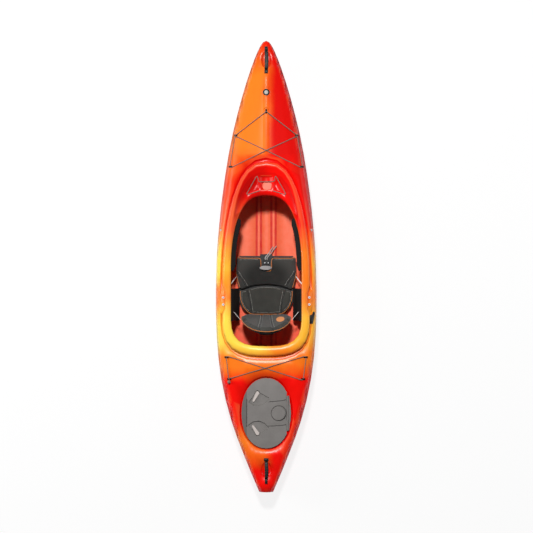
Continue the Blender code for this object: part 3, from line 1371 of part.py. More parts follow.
def back_frame_axes():
    """Axes of the seat back: across, up along its slope, out of its face towards the bow."""
    lean = math.radians(BACK_LEAN)
    up = Vector((0.0, -math.sin(lean), math.cos(lean)))
    out = Vector((0.0, math.cos(lean), math.sin(lean)))
    foot = Vector((0.0, *BACK_FOOT)) - out * BACK_THICK
    return axes(foot, (-1.0, 0.0, 0.0), up, out)


def build_back(frame_finish, pad_finish, strap_finish):
    """Reclining seat back: frame with its rear loop and hinge barrel, cushion and side straps."""
    hinge = pivot("seat_back", (0.0, *BACK_HINGE))
    place = back_frame_axes()
    bm = bmesh.new()
    outline = both_sides(BACK_OUTLINE)
    pillow(bm, outline, [BACK_SEAM, mirrored(BACK_SEAM)], BACK_THICK, Matrix.Identity(4))
    bend_back(bm, place)
    add_mesh("back_cushion", bm, pad_finish, hinge)
    plate = bmesh.new()
    inner = [(x * 0.88, 0.012 + y * 0.93) for x, y in outline]
    fill_plate(plate, inner, -BACK_PLATE - BACK_GAP, -BACK_GAP)
    bend_back(plate, place)
    tab = solid(prism, [(-0.048, -0.030), (0.048, -0.030), (0.052, 0.040), (-0.052, 0.040)],
                -BACK_PLATE - BACK_GAP, -BACK_GAP, place)
    barrel = solid(rod, (-0.060, *BACK_HINGE), (0.060, *BACK_HINGE), BACK_BARREL_R, sides=14)
    pin = solid(rod, (-0.0705, *BACK_HINGE), (0.0705, *BACK_HINGE), BACK_PIN_R, sides=12)
    loop = [(0.053, BACK_LOOP_V, -0.003), (0.053, BACK_LOOP_V, -0.018), (0.044, BACK_LOOP_V, -0.028),
            (0.020, BACK_LOOP_V, -0.032), (-0.020, BACK_LOOP_V, -0.032), (-0.044, BACK_LOOP_V, -0.028),
            (-0.053, BACK_LOOP_V, -0.018), (-0.053, BACK_LOOP_V, -0.003)]
    up = place.to_3x3() @ Vector((0.0, 1.0, 0.0))
    ring = solid(sweep, [place @ Vector(p) for p in loop], circle(0.005, 8), up)
    compose("back_frame", frame_finish, [plate, tab, barrel, pin, ring], (), hinge)
    for side, tag in ((-1.0, "L"), (1.0, "R")):
        path = [(side * 0.1845, -0.375, 0.200), (side * 0.205, -0.350, 0.221), (side * 0.228, -0.322, 0.240)]
        section = [(-0.00125, -0.007), (0.00125, -0.007), (0.00125, 0.007), (-0.00125, 0.007)]
        add_mesh("back_strap_" + tag, solid(sweep, path, section, (0.0, 0.0, 1.0)), strap_finish, hinge)


def fill_plate(bm, outline, low, high):
    """Flat plate on an outline, fine enough to bend."""
    grid = [(x, y) for x in (-0.10, -0.05, 0.0, 0.05, 0.10) for y in (0.04, 0.10, 0.16, 0.22)
            if inside((x, y), outline)]
    for level in (low, high):
        fill_outline(bm, outline, [], [], grid, lambda x, y, z=level: z)
    strip(bm, [[(x, y, z) for x, y in outline] for z in (low, high)])
    bmesh.ops.remove_doubles(bm, verts=bm.verts, dist=WELD)


def bend_back(bm, place):
    """Wrap a flat piece round the sitter's sides and put it on the seat back."""
    widest = BACK_OUTLINE[3][0]
    for v in bm.verts:
        v.co.z += BACK_WRAP * (v.co.x / widest) ** 2
    bmesh.ops.transform(bm, matrix=place, verts=bm.verts)


def build_bulkhead(finish):
    """Foam wall between the cockpit and the stern hold."""
    y = BULKHEAD_Y[0]
    edge = deck_edge(y)
    half = [(flat_half(y), BULKHEAD_FOOT)]
    half += [p for p in hull_section(y)[len(TUNNEL_COLUMNS) + 1:] if p[1] > BULKHEAD_FOOT]
    half += [(edge + edge_inset(y) * 0.5, fair_deck(edge + edge_inset(y) * 0.5, y))]
    half += [(edge * s, fair_deck(edge * s, y)) for s in (1.0, 0.66, 0.33)]
    outline = offset_outline(half + [(0.0, fair_deck(0.0, y))] + [(-x, z) for x, z in reversed(half)],
                             WALL + BULKHEAD_CLEAR)
    place = axes((0.0, 0.0, 0.0), (1.0, 0.0, 0.0), (0.0, 0.0, 1.0), (0.0, 1.0, 0.0))
    add_mesh("stern_bulkhead", solid(prism, outline, BULKHEAD_Y[0], BULKHEAD_Y[1], place), finish)


def fan_outline(x, y, start, sign):
    """Outline of a latch's fan recess: its round end and the sweep of its lever."""
    points = []
    for k in range(5):
        angle = math.radians(start + sign * ((LATCH_SWING + 2.0 * LATCH_SIDE) * k / 4.0 - LATCH_SIDE))
        points.append((x + LATCH_FAN_R * math.cos(angle), y + LATCH_FAN_R * math.sin(angle)))
    for k in range(1, 6):
        angle = math.radians(start + sign * (LATCH_SWING + (360.0 - LATCH_SWING) * k / 6.0))
        points.append((x + LATCH_END_R * math.cos(angle), y + LATCH_END_R * math.sin(angle)))
    return points


def cover_z(x, y):
    """Height of the cover's top, with its two latch recesses."""
    for pose in LATCHES.values():
        if inside((x, y), shrunk(fan_outline(*pose), LATCH_DRAFT * 0.5)):
            return LATCH_FLOOR_Z
    reach = (x / HATCH_COVER.half_x) ** 2 + ((y - HATCH_Y) / HATCH_COVER.half_y) ** 2
    return COVER_EDGE_Z + COVER_CROWN * max(1.0 - reach, 0.0) * smoothstep(COVER_CUT_X - x, 0.0, 0.05)


def build_hatch(grey_finish, seal_finish):
    """Stern hatch: hinged cover, gasket, fixed hinge leaf with its pin, and two lever latches."""
    hinge = pivot("hatch", (HINGE_X, HATCH_Y, COVER_EDGE_Z))
    outline = sorted_ring([p for p in oval_ring(HATCH_COVER) if p[0] < COVER_CUT_X - 0.004]
                          + cover_cut_ends())
    bm = bmesh.new()
    lines = []
    for pose in LATCHES.values():
        for line in (fan_outline(*pose), shrunk(fan_outline(*pose), LATCH_DRAFT)):
            lines.append(line + line[:1])
    points = [(x, HATCH_Y + y) for x in (-0.12, -0.03, 0.05, 0.11) for y in (-0.20, -0.07, 0.0, 0.07, 0.20)
              if (x / 0.165) ** 2 + (y / 0.24) ** 2 < 0.9 and not any(
                  distance_to((x, HATCH_Y + y), fan_outline(*pose)) < 0.012
                  or inside((x, HATCH_Y + y), fan_outline(*pose)) for pose in LATCHES.values())]
    fill_outline(bm, outline, [], lines, points, cover_z)
    fill_outline(bm, outline, [], [], [], lambda x, y: COVER_BOTTOM_Z)
    strip(bm, [[(x, y, COVER_BOTTOM_Z) for x, y in outline], [(x, y, cover_z(x, y)) for x, y in outline]])
    bmesh.ops.remove_doubles(bm, verts=bm.verts, dist=WELD)
    boss = solid(turned, [(HATCH_BOSS[2], 0.258), (HATCH_BOSS[2], 0.2685), (HATCH_BOSS[2] - 0.004, 0.2715)],
                 Matrix.Translation((HATCH_BOSS[0], HATCH_BOSS[1], 0.0)), sides=28)
    shapes = [bm, boss]
    for low, high in COVER_KNUCKLES:
        shapes.append(solid(rod, (HINGE_X, low, COVER_EDGE_Z), (HINGE_X, high, COVER_EDGE_Z), KNUCKLE_R))
        shapes.append(solid(block, (COVER_CUT_X - 0.006, low, COVER_EDGE_Z - 0.006),
                            (HINGE_X - 0.001, high, COVER_EDGE_Z + 0.001)))
    bore = (HINGE_X, LEAF_Y[0] - 0.01, COVER_EDGE_Z), (HINGE_X, LEAF_Y[1] + 0.01, COVER_EDGE_Z)
    cuts = [solid(rod, *bore, HINGE_PIN_R + GAP)]
    for x, y, _, _ in LATCHES.values():
        cuts.append(solid(rod, (x, y, 0.24), (x, y, 0.28), LATCH_SHAFT_R + GAP))
    compose("hatch_cover", grey_finish, shapes, cuts, hinge, sharp=30.0)
    leaf_ring = [p for p in oval_ring(HATCH_COVER) if LEAF_Y[0] < p[1] < LEAF_Y[1] and p[0] > LEAF_X]
    leaf_ring = sorted(leaf_ring, key=lambda p: p[1])
    leaf = [(LEAF_X, LEAF_Y[0])] + [(leaf_ring[0][0] - 0.004, LEAF_Y[0])] + leaf_ring \
        + [(leaf_ring[-1][0] - 0.004, LEAF_Y[1])] + [(LEAF_X, LEAF_Y[1])]
    shapes = [solid(prism, leaf, COVER_BOTTOM_Z, LEAF_TOP_Z)]
    for low, high in LEAF_KNUCKLES:
        shapes.append(solid(rod, (HINGE_X, low, COVER_EDGE_Z), (HINGE_X, high, COVER_EDGE_Z), KNUCKLE_R))
        shapes.append(solid(block, (HINGE_X + 0.001, low, COVER_BOTTOM_Z + 0.001),
                            (LEAF_X + 0.004, high, COVER_EDGE_Z - 0.002)))
    shapes.append(solid(rod, (HINGE_X, LEAF_Y[0], COVER_EDGE_Z), (HINGE_X, LEAF_Y[1], COVER_EDGE_Z),
                        HINGE_PIN_R))
    compose("hatch_hinge_leaf", grey_finish, shapes)
    low = HATCH_FLOOR_Z + GAP * 2.0
    rings = [[(x, y, z) for x, y in oval_ring(oval)] for oval, z in (
        (GASKET[0], low), (GASKET[0], GASKET_TOP_Z), (GASKET[1], GASKET_TOP_Z), (GASKET[1], low))]
    bm = bmesh.new()
    strip(bm, rings + rings[:1])
    bmesh.ops.remove_doubles(bm, verts=bm.verts, dist=WELD)
    add_mesh("hatch_gasket", bm, seal_finish)
    for tag, (x, y, start, sign) in LATCHES.items():
        turn = pivot("latch_" + tag, (x, y, LATCH_FLOOR_Z))
        turn.parent = hinge
        turn.matrix_parent_inverse = Matrix.Translation(hinge.location).inverted()
        place = Matrix.Translation((x, y, 0.0)) @ Matrix.Rotation(math.radians(start), 4, "Z")
        lever = solid(prism, capsule(0.0, 0.013, LATCH_LENGTH - 0.020, 0.007), LATCH_FLOOR_Z + 0.0005,
                      LATCH_FLOOR_Z + 0.0095, place)
        shaft = solid(rod, (x, y, LATCH_TONGUE_Z[0] + 0.001), (x, y, LATCH_FLOOR_Z + 0.003), LATCH_SHAFT_R)
        seaward = Matrix.Translation((x, y, 0.0)) @ Matrix.Rotation(sign * math.pi / 2.0, 4, "Z")
        tongue = solid(prism, capsule(0.0, 0.008, 0.026, 0.006), *LATCH_TONGUE_Z, seaward)
        compose("latch_lever_" + tag, seal_finish, [lever, shaft, tongue], (), turn)


def cover_cut_ends():
    """The two ends of the hatch cover's straight hinge edge."""
    share = (COVER_CUT_X / HATCH_COVER.half_x) ** (1.0 / OVAL_POWER)
    reach = math.sqrt(1.0 - share * share) ** OVAL_POWER * HATCH_COVER.half_y
    return [(COVER_CUT_X, HATCH_Y - reach), (COVER_CUT_X, HATCH_Y + reach)]


def sorted_ring(points):
    """Points in order round the middle of the hatch."""
    return sorted(points, key=lambda p: math.atan2(p[1] - HATCH_Y, p[0]))


def capsule(x, first, length, second):
    """Outline of an arm with round ends of two sizes, along X."""
    points = []
    for k in range(7):
        angle = math.pi / 2.0 + math.pi * k / 6.0
        points.append((x + first * math.cos(angle), first * math.sin(angle)))
    for k in range(7):
        angle = -math.pi / 2.0 + math.pi * k / 6.0
        points.append((x + length + second * math.cos(angle), second * math.sin(angle)))
    return points


def build_skeg(ground, box_finish, blade_finish, knob_finish):
    """Drop-down skeg: box with its pin, blade, deck cleat and pull knob."""
    low_y, high_y = SKEG_SLOT
    half = SKEG_SLOT_HALF
    outer = solid(block, (-half - SKEG_WALL, low_y - SKEG_WALL, SKEG_BOX_Z[0]),
                  (half + SKEG_WALL, high_y + SKEG_WALL, SKEG_BOX_Z[1]))
    inner = solid(block, (-half, low_y, -0.01), (half, high_y, SKEG_BOX_Z[1] - SKEG_WALL))
    box = compose("skeg_box", box_finish, [outer], [inner])
    reach = half + SKEG_WALL * 0.7
    pin = solid(rod, (-reach, *SKEG_PIVOT), (reach, *SKEG_PIVOT), SKEG_PIN_R)
    boolean(box, cutter("skeg_pin", pin), "UNION")
    turn = pivot("skeg", (0.0, *SKEG_PIVOT))
    nose = []
    for k in range(7):
        angle = math.radians(90.0 - 30.0 * k)
        nose.append((SKEG_NOSE_R * math.cos(angle), SKEG_NOSE_R * math.sin(angle)))
    place = axes((0.0, *SKEG_PIVOT), (0.0, 1.0, 0.0), (0.0, 0.0, 1.0), (1.0, 0.0, 0.0))
    blade = solid(prism, nose + list(SKEG_BLADE), -SKEG_BLADE_HALF, SKEG_BLADE_HALF, place)
    bore = solid(rod, (-0.02, *SKEG_PIVOT), (0.02, *SKEG_PIVOT), SKEG_PIN_R + GAP)
    compose("skeg_blade", blade_finish, [blade], [bore], turn)
    base = max(ground.highest(CLEAT_OUTLINE), ground.top(0.330, -0.36)) + SEAT_CLEAR
    plate = solid(prism, CLEAT_OUTLINE, base, base + 0.003)
    disc = solid(turned, [(FAIRLEAD[2], base + 0.001), (FAIRLEAD[2], base + 0.005),
                          (FAIRLEAD[2] * 0.5, base + 0.008)],
                 Matrix.Translation((FAIRLEAD[0], FAIRLEAD[1], 0.0)))
    compose("skeg_cleat", box_finish, [plate, disc])
    height = base + 0.003 + 0.0005 + KNOB_R
    slide = pivot("skeg_control", (*KNOB_PLACE, height))
    ends = [KNOB_LENGTH / 2.0, KNOB_LENGTH / 2.0 - 0.003, -KNOB_LENGTH / 2.0 + 0.003, -KNOB_LENGTH / 2.0]
    profile = [(KNOB_R * share, at) for share, at in zip((0.7, 1.0, 1.0, 0.7), ends)]
    place = axes((*KNOB_PLACE, height), (1.0, 0.0, 0.0), (0.0, 0.0, -1.0), (0.0, 1.0, 0.0))
    add_mesh("skeg_knob", solid(turned, profile, place), knob_finish, slide)


def clear_scene():
    """Remove every object."""
    for old in list(bpy.data.objects):
        bpy.data.objects.remove(old)


def main():
    """Build the kayak."""
    clear_scene()
    shell_finish = material("moulded polyethylene", RED, 0.35)
    black = material("black nylon", BLACK, 0.45)
    foam = material("closed-cell foam", CHARCOAL, 0.9)
    fabric = material("seat fabric", CHARCOAL, 0.95)
    webbing = material("webbing", BLACK, 0.9)
    shock_cord = material("shock cord", CORD_BROWN, 0.8)
    white_cord = material("braided cord", PALE_GREY, 0.8)
    steel = material("stainless steel", STEEL, 0.3, 1.0)
    grey = material("grey hatch plastic", GREY, 0.5)
    hull = build_hull(shell_finish)
    deck = build_deck(shell_finish)
    ground = Ground(deck)
    build_handles(ground, black, black)
    frames = build_eyes(ground, steel)
    build_bungees(ground, frames, shock_cord)
    build_console_cord(ground, shock_cord)
    build_thigh_pads(foam)
    build_foot_braces(hull, black, black)
    build_brace_screws(deck, ground, steel)
    build_hangers(black, steel)
    build_seat(black, fabric, white_cord, grey)
    build_back(black, fabric, webbing)
    build_bulkhead(foam)
    build_hatch(grey, black)
    build_skeg(ground, black, black, black)
    in_bays(hull, HULL_BAYS)
    in_bays(deck, DECK_BAYS)


main()
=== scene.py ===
"""Looks of a recreational kayak: moulded shell, rigging, padded seat, oval hatch and skeg.

Metres, +Z up, the bow to +Y and starboard to +X. The camera looks straight down, bow up.
"""

import functools
import json
import logging
import math
from dataclasses import dataclass
from enum import Enum

import bmesh
import bpy
from mathutils import Matrix, Vector
from mathutils.bvhtree import BVHTree

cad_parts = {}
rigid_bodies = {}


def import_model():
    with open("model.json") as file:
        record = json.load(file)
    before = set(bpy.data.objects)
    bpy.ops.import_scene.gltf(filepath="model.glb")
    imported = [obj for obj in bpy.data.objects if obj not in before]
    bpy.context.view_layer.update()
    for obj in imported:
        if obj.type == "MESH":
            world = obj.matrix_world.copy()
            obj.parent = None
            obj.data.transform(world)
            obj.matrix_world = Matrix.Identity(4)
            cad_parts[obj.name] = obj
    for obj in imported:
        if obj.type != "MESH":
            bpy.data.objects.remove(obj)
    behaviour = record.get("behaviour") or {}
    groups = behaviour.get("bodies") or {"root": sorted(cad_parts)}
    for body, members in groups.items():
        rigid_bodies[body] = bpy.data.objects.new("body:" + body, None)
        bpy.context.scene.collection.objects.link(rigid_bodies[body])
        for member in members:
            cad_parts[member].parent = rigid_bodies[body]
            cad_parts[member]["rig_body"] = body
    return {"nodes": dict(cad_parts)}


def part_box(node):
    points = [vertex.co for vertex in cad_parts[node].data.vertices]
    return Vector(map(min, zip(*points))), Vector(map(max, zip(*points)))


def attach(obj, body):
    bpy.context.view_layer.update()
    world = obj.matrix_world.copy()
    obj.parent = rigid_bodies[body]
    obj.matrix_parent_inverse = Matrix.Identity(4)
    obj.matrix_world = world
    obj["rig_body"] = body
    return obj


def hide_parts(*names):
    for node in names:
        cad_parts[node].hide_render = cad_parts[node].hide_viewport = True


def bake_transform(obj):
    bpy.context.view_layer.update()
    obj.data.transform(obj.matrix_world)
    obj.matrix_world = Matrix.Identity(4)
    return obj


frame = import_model()

LOG = logging.getLogger("kayak")
MM = 0.001
WELD = 0.02 * MM

Point = tuple[float, ...]
LENGTH = 3.2


class Powder(Enum):
    """The coloured powders poured into the mould, and what they blend to."""

    RED = "#FB0A02"
    DEEP_RED = "#DE0600"
    SCARLET = "#F93C08"
    CORAL = "#FA6032"
    ORANGE = "#FC7C18"
    AMBER = "#FBB832"
    YELLOW = "#FFE04C"


Bands = tuple[tuple[float, Powder], ...]


class Slot(Enum):
    """The record's material slots."""

    SHELL = "moulded_polyethylene"
    NYLON = "black_nylon"
    HATCH = "grey_hatch_plastic"
    SEAL = "rubber_seal"
    FABRIC = "seat_fabric"
    FOAM = "closed_cell_foam"
    WEBBING = "webbing"
    SHOCK_CORD = "shock_cord"
    PULL_CORD = "braided_cord"
    STEEL = "stainless_steel"


def linear(hex_colour: str) -> Point:
    """Turn an sRGB hex colour into linear light.

    Args:
        hex_colour: Six hex digits after a hash.

    Returns:
        Red, green, blue and an alpha of one.
    """
    channels = [int(hex_colour[i:i + 2], 16) / 255.0 for i in (1, 3, 5)]
    return (*(c / 12.92 if c <= 0.04045 else ((c + 0.055) / 1.055) ** 2.4 for c in channels), 1.0)


def smoothstep(value: float, low: float, high: float) -> float:
    """0 below low, 1 above high, smooth between."""
    t = min(max((value - low) / (high - low), 0.0), 1.0)
    return t * t * (3.0 - 2.0 * t)


def add_node(tree: bpy.types.NodeTree, kind: str, settings: dict | None = None,
             links: dict | None = None) -> bpy.types.Node:
    """Add a shader node with its settings and links.

    Args:
        tree: The material's node tree.
        kind: The node's type name.
        settings: Properties of the node by name.
        links: For each input, by name or number, a value or the socket that feeds it.

    Returns:
        The new node.
    """
    node = tree.nodes.new(kind)
    for key, value in (settings or {}).items():
        setattr(node, key, value)
    for key, value in (links or {}).items():
        if isinstance(value, bpy.types.NodeSocket):
            tree.links.new(value, node.inputs[key])
        else:
            node.inputs[key].default_value = value
    return node


def ramp_node(tree: bpy.types.NodeTree, factor: bpy.types.NodeSocket, bands: Bands) -> bpy.types.NodeSocket:
    """Colour ramp along the boat, from powder to powder.

    Args:
        tree: The material's node tree.
        factor: Share of the boat's length from the transom, 0 to 1.
        bands: How far forward of the middle each band lies, in metres, and its powder.

    Returns:
        The ramp's colour socket.
    """
    node = add_node(tree, "ShaderNodeValToRGB", {}, {"Fac": factor})
    ramp = node.color_ramp
    for place, powder in bands[1:-1]:
        ramp.elements.new(0.5 + place / LENGTH)
    for element, (place, powder) in zip(ramp.elements, bands):
        element.position = 0.5 + place / LENGTH
        element.color = linear(powder.value)
    return node.outputs["Color"]


def mix_colour(tree: bpy.types.NodeTree, factor: bpy.types.NodeSocket | float,
               first: bpy.types.NodeSocket | Point, second: bpy.types.NodeSocket | Point,
               blend: str = "MIX") -> bpy.types.NodeSocket:
    """Mix two colours.

    Args:
        tree: The material's node tree.
        factor: Share of the second.
        first: The first colour.
        second: The second colour.
        blend: How they mix.

    Returns:
        The mixed colour's socket.
    """
    node = add_node(tree, "ShaderNodeMix", {"data_type": "RGBA", "blend_type": blend},
                    {0: factor, 6: first, 7: second})
    return node.outputs[2]


def arithmetic(tree: bpy.types.NodeTree, operation: str,
               *values: bpy.types.NodeSocket | float) -> bpy.types.NodeSocket:
    """Math node on one to three values; returns its socket."""
    return add_node(tree, "ShaderNodeMath", {"operation": operation}, dict(enumerate(values))).outputs[0]


def new_material(name: str) -> tuple[bpy.types.Material, bpy.types.NodeTree, bpy.types.Node]:
    """A material with its node tree and Principled BSDF."""
    made = bpy.data.materials.new(name)
    made.use_nodes = True
    return made, made.node_tree, made.node_tree.nodes["Principled BSDF"]


def object_coordinates(tree: bpy.types.NodeTree) -> bpy.types.NodeSocket:
    """The Object coordinates' socket, in metres."""
    return add_node(tree, "ShaderNodeTexCoord").outputs["Object"]


def bump(tree: bpy.types.NodeTree, shader: bpy.types.Node, height: bpy.types.NodeSocket,
         strength: float, depth: float) -> None:
    """Feed a height pattern to the shader's normal, over any that it has.

    Args:
        tree: The material's node tree.
        shader: Its Principled BSDF.
        height: The pattern.
        strength: How much of it counts.
        depth: Its real depth, in metres.
    """
    before = [link.from_socket for link in shader.inputs["Normal"].links]
    node = add_node(tree, "ShaderNodeBump", {}, {"Height": height, "Strength": strength, "Distance": depth})
    if before:
        tree.links.new(before[0], node.inputs["Normal"])
    tree.links.new(node.outputs["Normal"], shader.inputs["Normal"])


def ramp_down(tree: bpy.types.NodeTree, value: bpy.types.NodeSocket, low: float,
              high: float) -> bpy.types.NodeSocket:
    """1 below low, 0 above high, smooth between."""
    return add_node(tree, "ShaderNodeMapRange", {"interpolation_type": "SMOOTHSTEP"}, {
        "Value": value, "From Min": low, "From Max": high, "To Min": 1.0, "To Max": 0.0}).outputs[0]


def plan_distance(tree: bpy.types.NodeTree, coords: bpy.types.NodeSocket, x: float, y: float, wide: float = 1.0,
                  long: float = 1.0) -> bpy.types.NodeSocket:
    """Distance from a place in plan, in its own half widths.

    Args:
        tree: The material's node tree.
        coords: Object coordinates.
        x: The place, to starboard.
        y: The place, forward.
        wide: What counts as one across.
        long: What counts as one along.

    Returns:
        The distance's socket.
    """
    spot = add_node(tree, "ShaderNodeVectorMath", {"operation": "MULTIPLY_ADD"},
                    {0: coords, 1: (1.0 / wide, 1.0 / long, 0.0), 2: (-x / wide, -y / long, 0.0)})
    away = add_node(tree, "ShaderNodeVectorMath", {"operation": "LENGTH"}, {0: spot.outputs[0]})
    return away.outputs["Value"]


def ring_mask(tree: bpy.types.NodeTree, coords: bpy.types.NodeSocket, x: float, y: float, radius: float,
              half: float) -> bpy.types.NodeSocket:
    """A circle drawn on the deck from above.

    Args:
        tree: The material's node tree.
        coords: Object coordinates.
        x: The circle's centre, to starboard.
        y: Its centre, forward.
        radius: Its radius.
        half: Half the width of its line.

    Returns:
        1 on the circle, falling to 0 at the line's edge.
    """
    off = arithmetic(tree, "ABSOLUTE", arithmetic(tree, "SUBTRACT", plan_distance(tree, coords, x, y), radius))
    return ramp_down(tree, off, half * 0.4, half)


@dataclass(frozen=True)
class BlendedPolyethylene:
    """Rotomoulded polyethylene, coloured powders poured together: a waxy gloss, faint orange peel.

    The ramps run from the transom to the stem, for each side of the deck and of the cockpit rim. Painted shade
    darkens the folds in the moulding and a painted highlight pales its crests.
    """

    name: str
    port: Bands
    starboard: Bands
    rim_port: Bands
    rim_starboard: Bands
    roughness: float = 0.30
    ior: float = 1.36
    peel_mm: float = 9.0
    ring: tuple[float, ...] = (0.0, 1.231, 0.032, 0.0022, 0.0012)
    ridge_half: float = 0.024
    ridge_slope: float = 0.16
    ridge_y: tuple[float, float] = (0.79, 1.37)
    ridge_fade: float = 0.03
    ridge_flat: float = 0.0012
    arch: tuple[float, ...] = (0.0, 1.104, 0.020, 0.006)
    arch_soft: float = 0.006
    arch_step: float = 0.008
    sway: tuple[float, float] = (0.060, 0.110)
    halves_meet: tuple[float, float] = (-0.040, 0.065)
    streak: str = "#C80800"
    streak_most: float = 0.10
    shade_colour: str = "#D03008"
    shade_most: float = 0.75
    crest_highlight: str = "#FFB060"
    crest_highlight_most: float = 0.16

    def build(self) -> bpy.types.Material:
        """Make the material.

        Returns:
            The new material.
        """
        made, tree, shader = new_material(self.name)
        coords = object_coordinates(tree)
        wander = add_node(tree, "ShaderNodeTexNoise", {}, {"Vector": coords, "Scale": 6.0, "Detail": 3.0})
        warp = add_node(tree, "ShaderNodeVectorMath", {"operation": "MULTIPLY_ADD"},
                        {0: wander.outputs["Color"], 1: (*self.sway, 0.0),
                         2: (-0.5 * self.sway[0], -0.5 * self.sway[1], 0.0)})
        moved = add_node(tree, "ShaderNodeVectorMath", {"operation": "ADD"}, {0: coords, 1: warp.outputs[0]})
        axes = add_node(tree, "ShaderNodeSeparateXYZ", {}, {0: moved.outputs[0]})
        along = arithmetic(tree, "MULTIPLY_ADD", axes.outputs["Y"], 1.0 / LENGTH, 0.5)
        # Port and starboard ramps meet here; the port side's paler colour is partly painted light.
        side = add_node(tree, "ShaderNodeMapRange", {"interpolation_type": "SMOOTHSTEP"},
                        {"Value": axes.outputs["X"], "From Min": self.halves_meet[0],
                         "From Max": self.halves_meet[1]}).outputs[0]
        rim = add_node(tree, "ShaderNodeAttribute", {"attribute_name": "rim"}).outputs["Fac"]
        deck = mix_colour(tree, side, ramp_node(tree, along, self.port), ramp_node(tree, along, self.starboard))
        coaming = mix_colour(tree, side, ramp_node(tree, along, self.rim_port),
                             ramp_node(tree, along, self.rim_starboard))
        colour = mix_colour(tree, rim, deck, coaming)
        drawn_out = add_node(tree, "ShaderNodeMapping", {}, {"Vector": coords, "Scale": (9.0, 2.2, 9.0)})
        streaks = add_node(tree, "ShaderNodeTexNoise", {}, {
            "Vector": drawn_out.outputs[0], "Scale": 1.6, "Detail": 5.0, "Roughness": 0.6})
        shade = add_node(tree, "ShaderNodeMapRange", {}, {
            "Value": streaks.outputs["Fac"], "From Min": 0.25, "From Max": 0.75, "To Max": self.streak_most})
        colour = mix_colour(tree, shade.outputs[0], colour, linear(self.streak), "MULTIPLY")
        # Painted shade darkens where the moulding folds in, and a painted highlight pales where it folds out.
        crease = add_node(tree, "ShaderNodeAttribute", {"attribute_name": "crease"}).outputs["Fac"]
        sunk = arithmetic(tree, "MAXIMUM", crease, 0.0)
        crest_highlight_share = arithmetic(tree, "MAXIMUM", arithmetic(tree, "MULTIPLY_ADD", crease, -2.0, -1.0), 0.0)
        sunk = arithmetic(tree, "MULTIPLY", sunk, self.shade_most)
        crest_highlight_share = arithmetic(tree, "MULTIPLY", crest_highlight_share, self.crest_highlight_most)
        colour = mix_colour(tree, sunk, colour, linear(self.shade_colour), "MULTIPLY")
        colour = mix_colour(tree, crest_highlight_share, colour, linear(self.crest_highlight))
        tree.links.new(colour, shader.inputs["Base Color"])
        shader.inputs["Roughness"].default_value = self.roughness
        shader.inputs["IOR"].default_value = self.ior
        peel = add_node(tree, "ShaderNodeTexNoise", {}, {
            "Vector": coords, "Scale": 1.0 / (self.peel_mm * MM), "Detail": 2.0})
        bump(tree, shader, peel.outputs["Fac"], 0.12, 0.4 * MM)
        bump(tree, shader, self.pressed_lines(tree, coords), 1.0, 1.0)
        return made

    def pressed_lines(self, tree: bpy.types.NodeTree, coords: bpy.types.NodeSocket) -> bpy.types.NodeSocket:
        """The ridge down the bow deck, the arch behind its middle eye and the groove round the badge.

        Args:
            tree: The material's node tree.
            coords: Object coordinates.

        Returns:
            Their height, in metres.
        """
        axes = add_node(tree, "ShaderNodeSeparateXYZ", {}, {0: coords})
        across = arithmetic(tree, "ABSOLUTE", axes.outputs["X"])
        tent = arithmetic(tree, "MAXIMUM", arithmetic(tree, "SUBTRACT", self.ridge_half, across), 0.0)
        tent = arithmetic(tree, "MINIMUM", tent, self.ridge_half - self.ridge_flat)
        rear, stem = self.ridge_y
        ahead = ramp_down(tree, axes.outputs["Y"], stem - self.ridge_fade, stem)
        short_of = ramp_down(tree, axes.outputs["Y"], rear, rear + self.ridge_fade)
        behind = arithmetic(tree, "SUBTRACT", 1.0, short_of)
        ridge = arithmetic(tree, "MULTIPLY", arithmetic(tree, "MULTIPLY", tent, self.ridge_slope),
                           arithmetic(tree, "MULTIPLY", ahead, behind))
        x, y, radius, depth = self.arch
        inner = ramp_down(tree, plan_distance(tree, coords, x, y), radius - self.arch_soft, radius)
        front = arithmetic(tree, "SUBTRACT", 1.0, ramp_down(tree, axes.outputs["Y"], y - self.arch_step, y))
        dent = arithmetic(tree, "MULTIPLY", arithmetic(tree, "MULTIPLY", inner, front), -depth)
        groove = arithmetic(tree, "MULTIPLY", ring_mask(tree, coords, *self.ring[:4]), -self.ring[4])
        return arithmetic(tree, "ADD", arithmetic(tree, "ADD", ridge, dent), groove)


@dataclass(frozen=True)
class TubInterior:
    """The inner side of the moulded tub: matt and dusty, with lines of painted shade along the tunnels' folds.
    """

    name: str
    bands: Bands
    fold_shade: str = "#E00000"
    roughness: float = 0.55
    folds: tuple[float, ...] = (0.0375, 0.0685)
    fold_half: float = 0.0098
    fold_top: tuple[float, float] = (0.030, 0.035)
    dust: str = "#FFD0B0"
    dust_most: float = 0.16

    def build(self) -> bpy.types.Material:
        """Make the material.

        Returns:
            The new material.
        """
        made, tree, shader = new_material(self.name)
        coords = object_coordinates(tree)
        axes = add_node(tree, "ShaderNodeSeparateXYZ", {}, {0: coords})
        along = arithmetic(tree, "MULTIPLY_ADD", axes.outputs["Y"], 1.0 / LENGTH, 0.5)
        across = arithmetic(tree, "ABSOLUTE", axes.outputs["X"])
        colour = ramp_node(tree, along, self.bands)
        # Painted shade: darker red lines along the tunnels' folds, low on the floor.
        for centre in self.folds:
            offset = arithmetic(tree, "ABSOLUTE", arithmetic(tree, "SUBTRACT", across, centre))
            line = ramp_down(tree, offset, self.fold_half * 0.6, self.fold_half)
            low = add_node(tree, "ShaderNodeMapRange", {}, {
                "Value": axes.outputs["Z"], "From Min": self.fold_top[0], "From Max": self.fold_top[1],
                "To Min": 1.0, "To Max": 0.0}).outputs[0]
            colour = mix_colour(tree, arithmetic(tree, "MULTIPLY", line, low), colour, linear(self.fold_shade))
        specks = add_node(tree, "ShaderNodeTexNoise", {}, {"Vector": coords, "Scale": 30.0, "Detail": 4.0})
        shade = arithmetic(tree, "MULTIPLY", specks.outputs["Fac"], self.dust_most)
        tree.links.new(mix_colour(tree, shade, colour, linear(self.dust)), shader.inputs["Base Color"])
        shader.inputs["Roughness"].default_value = self.roughness
        return made


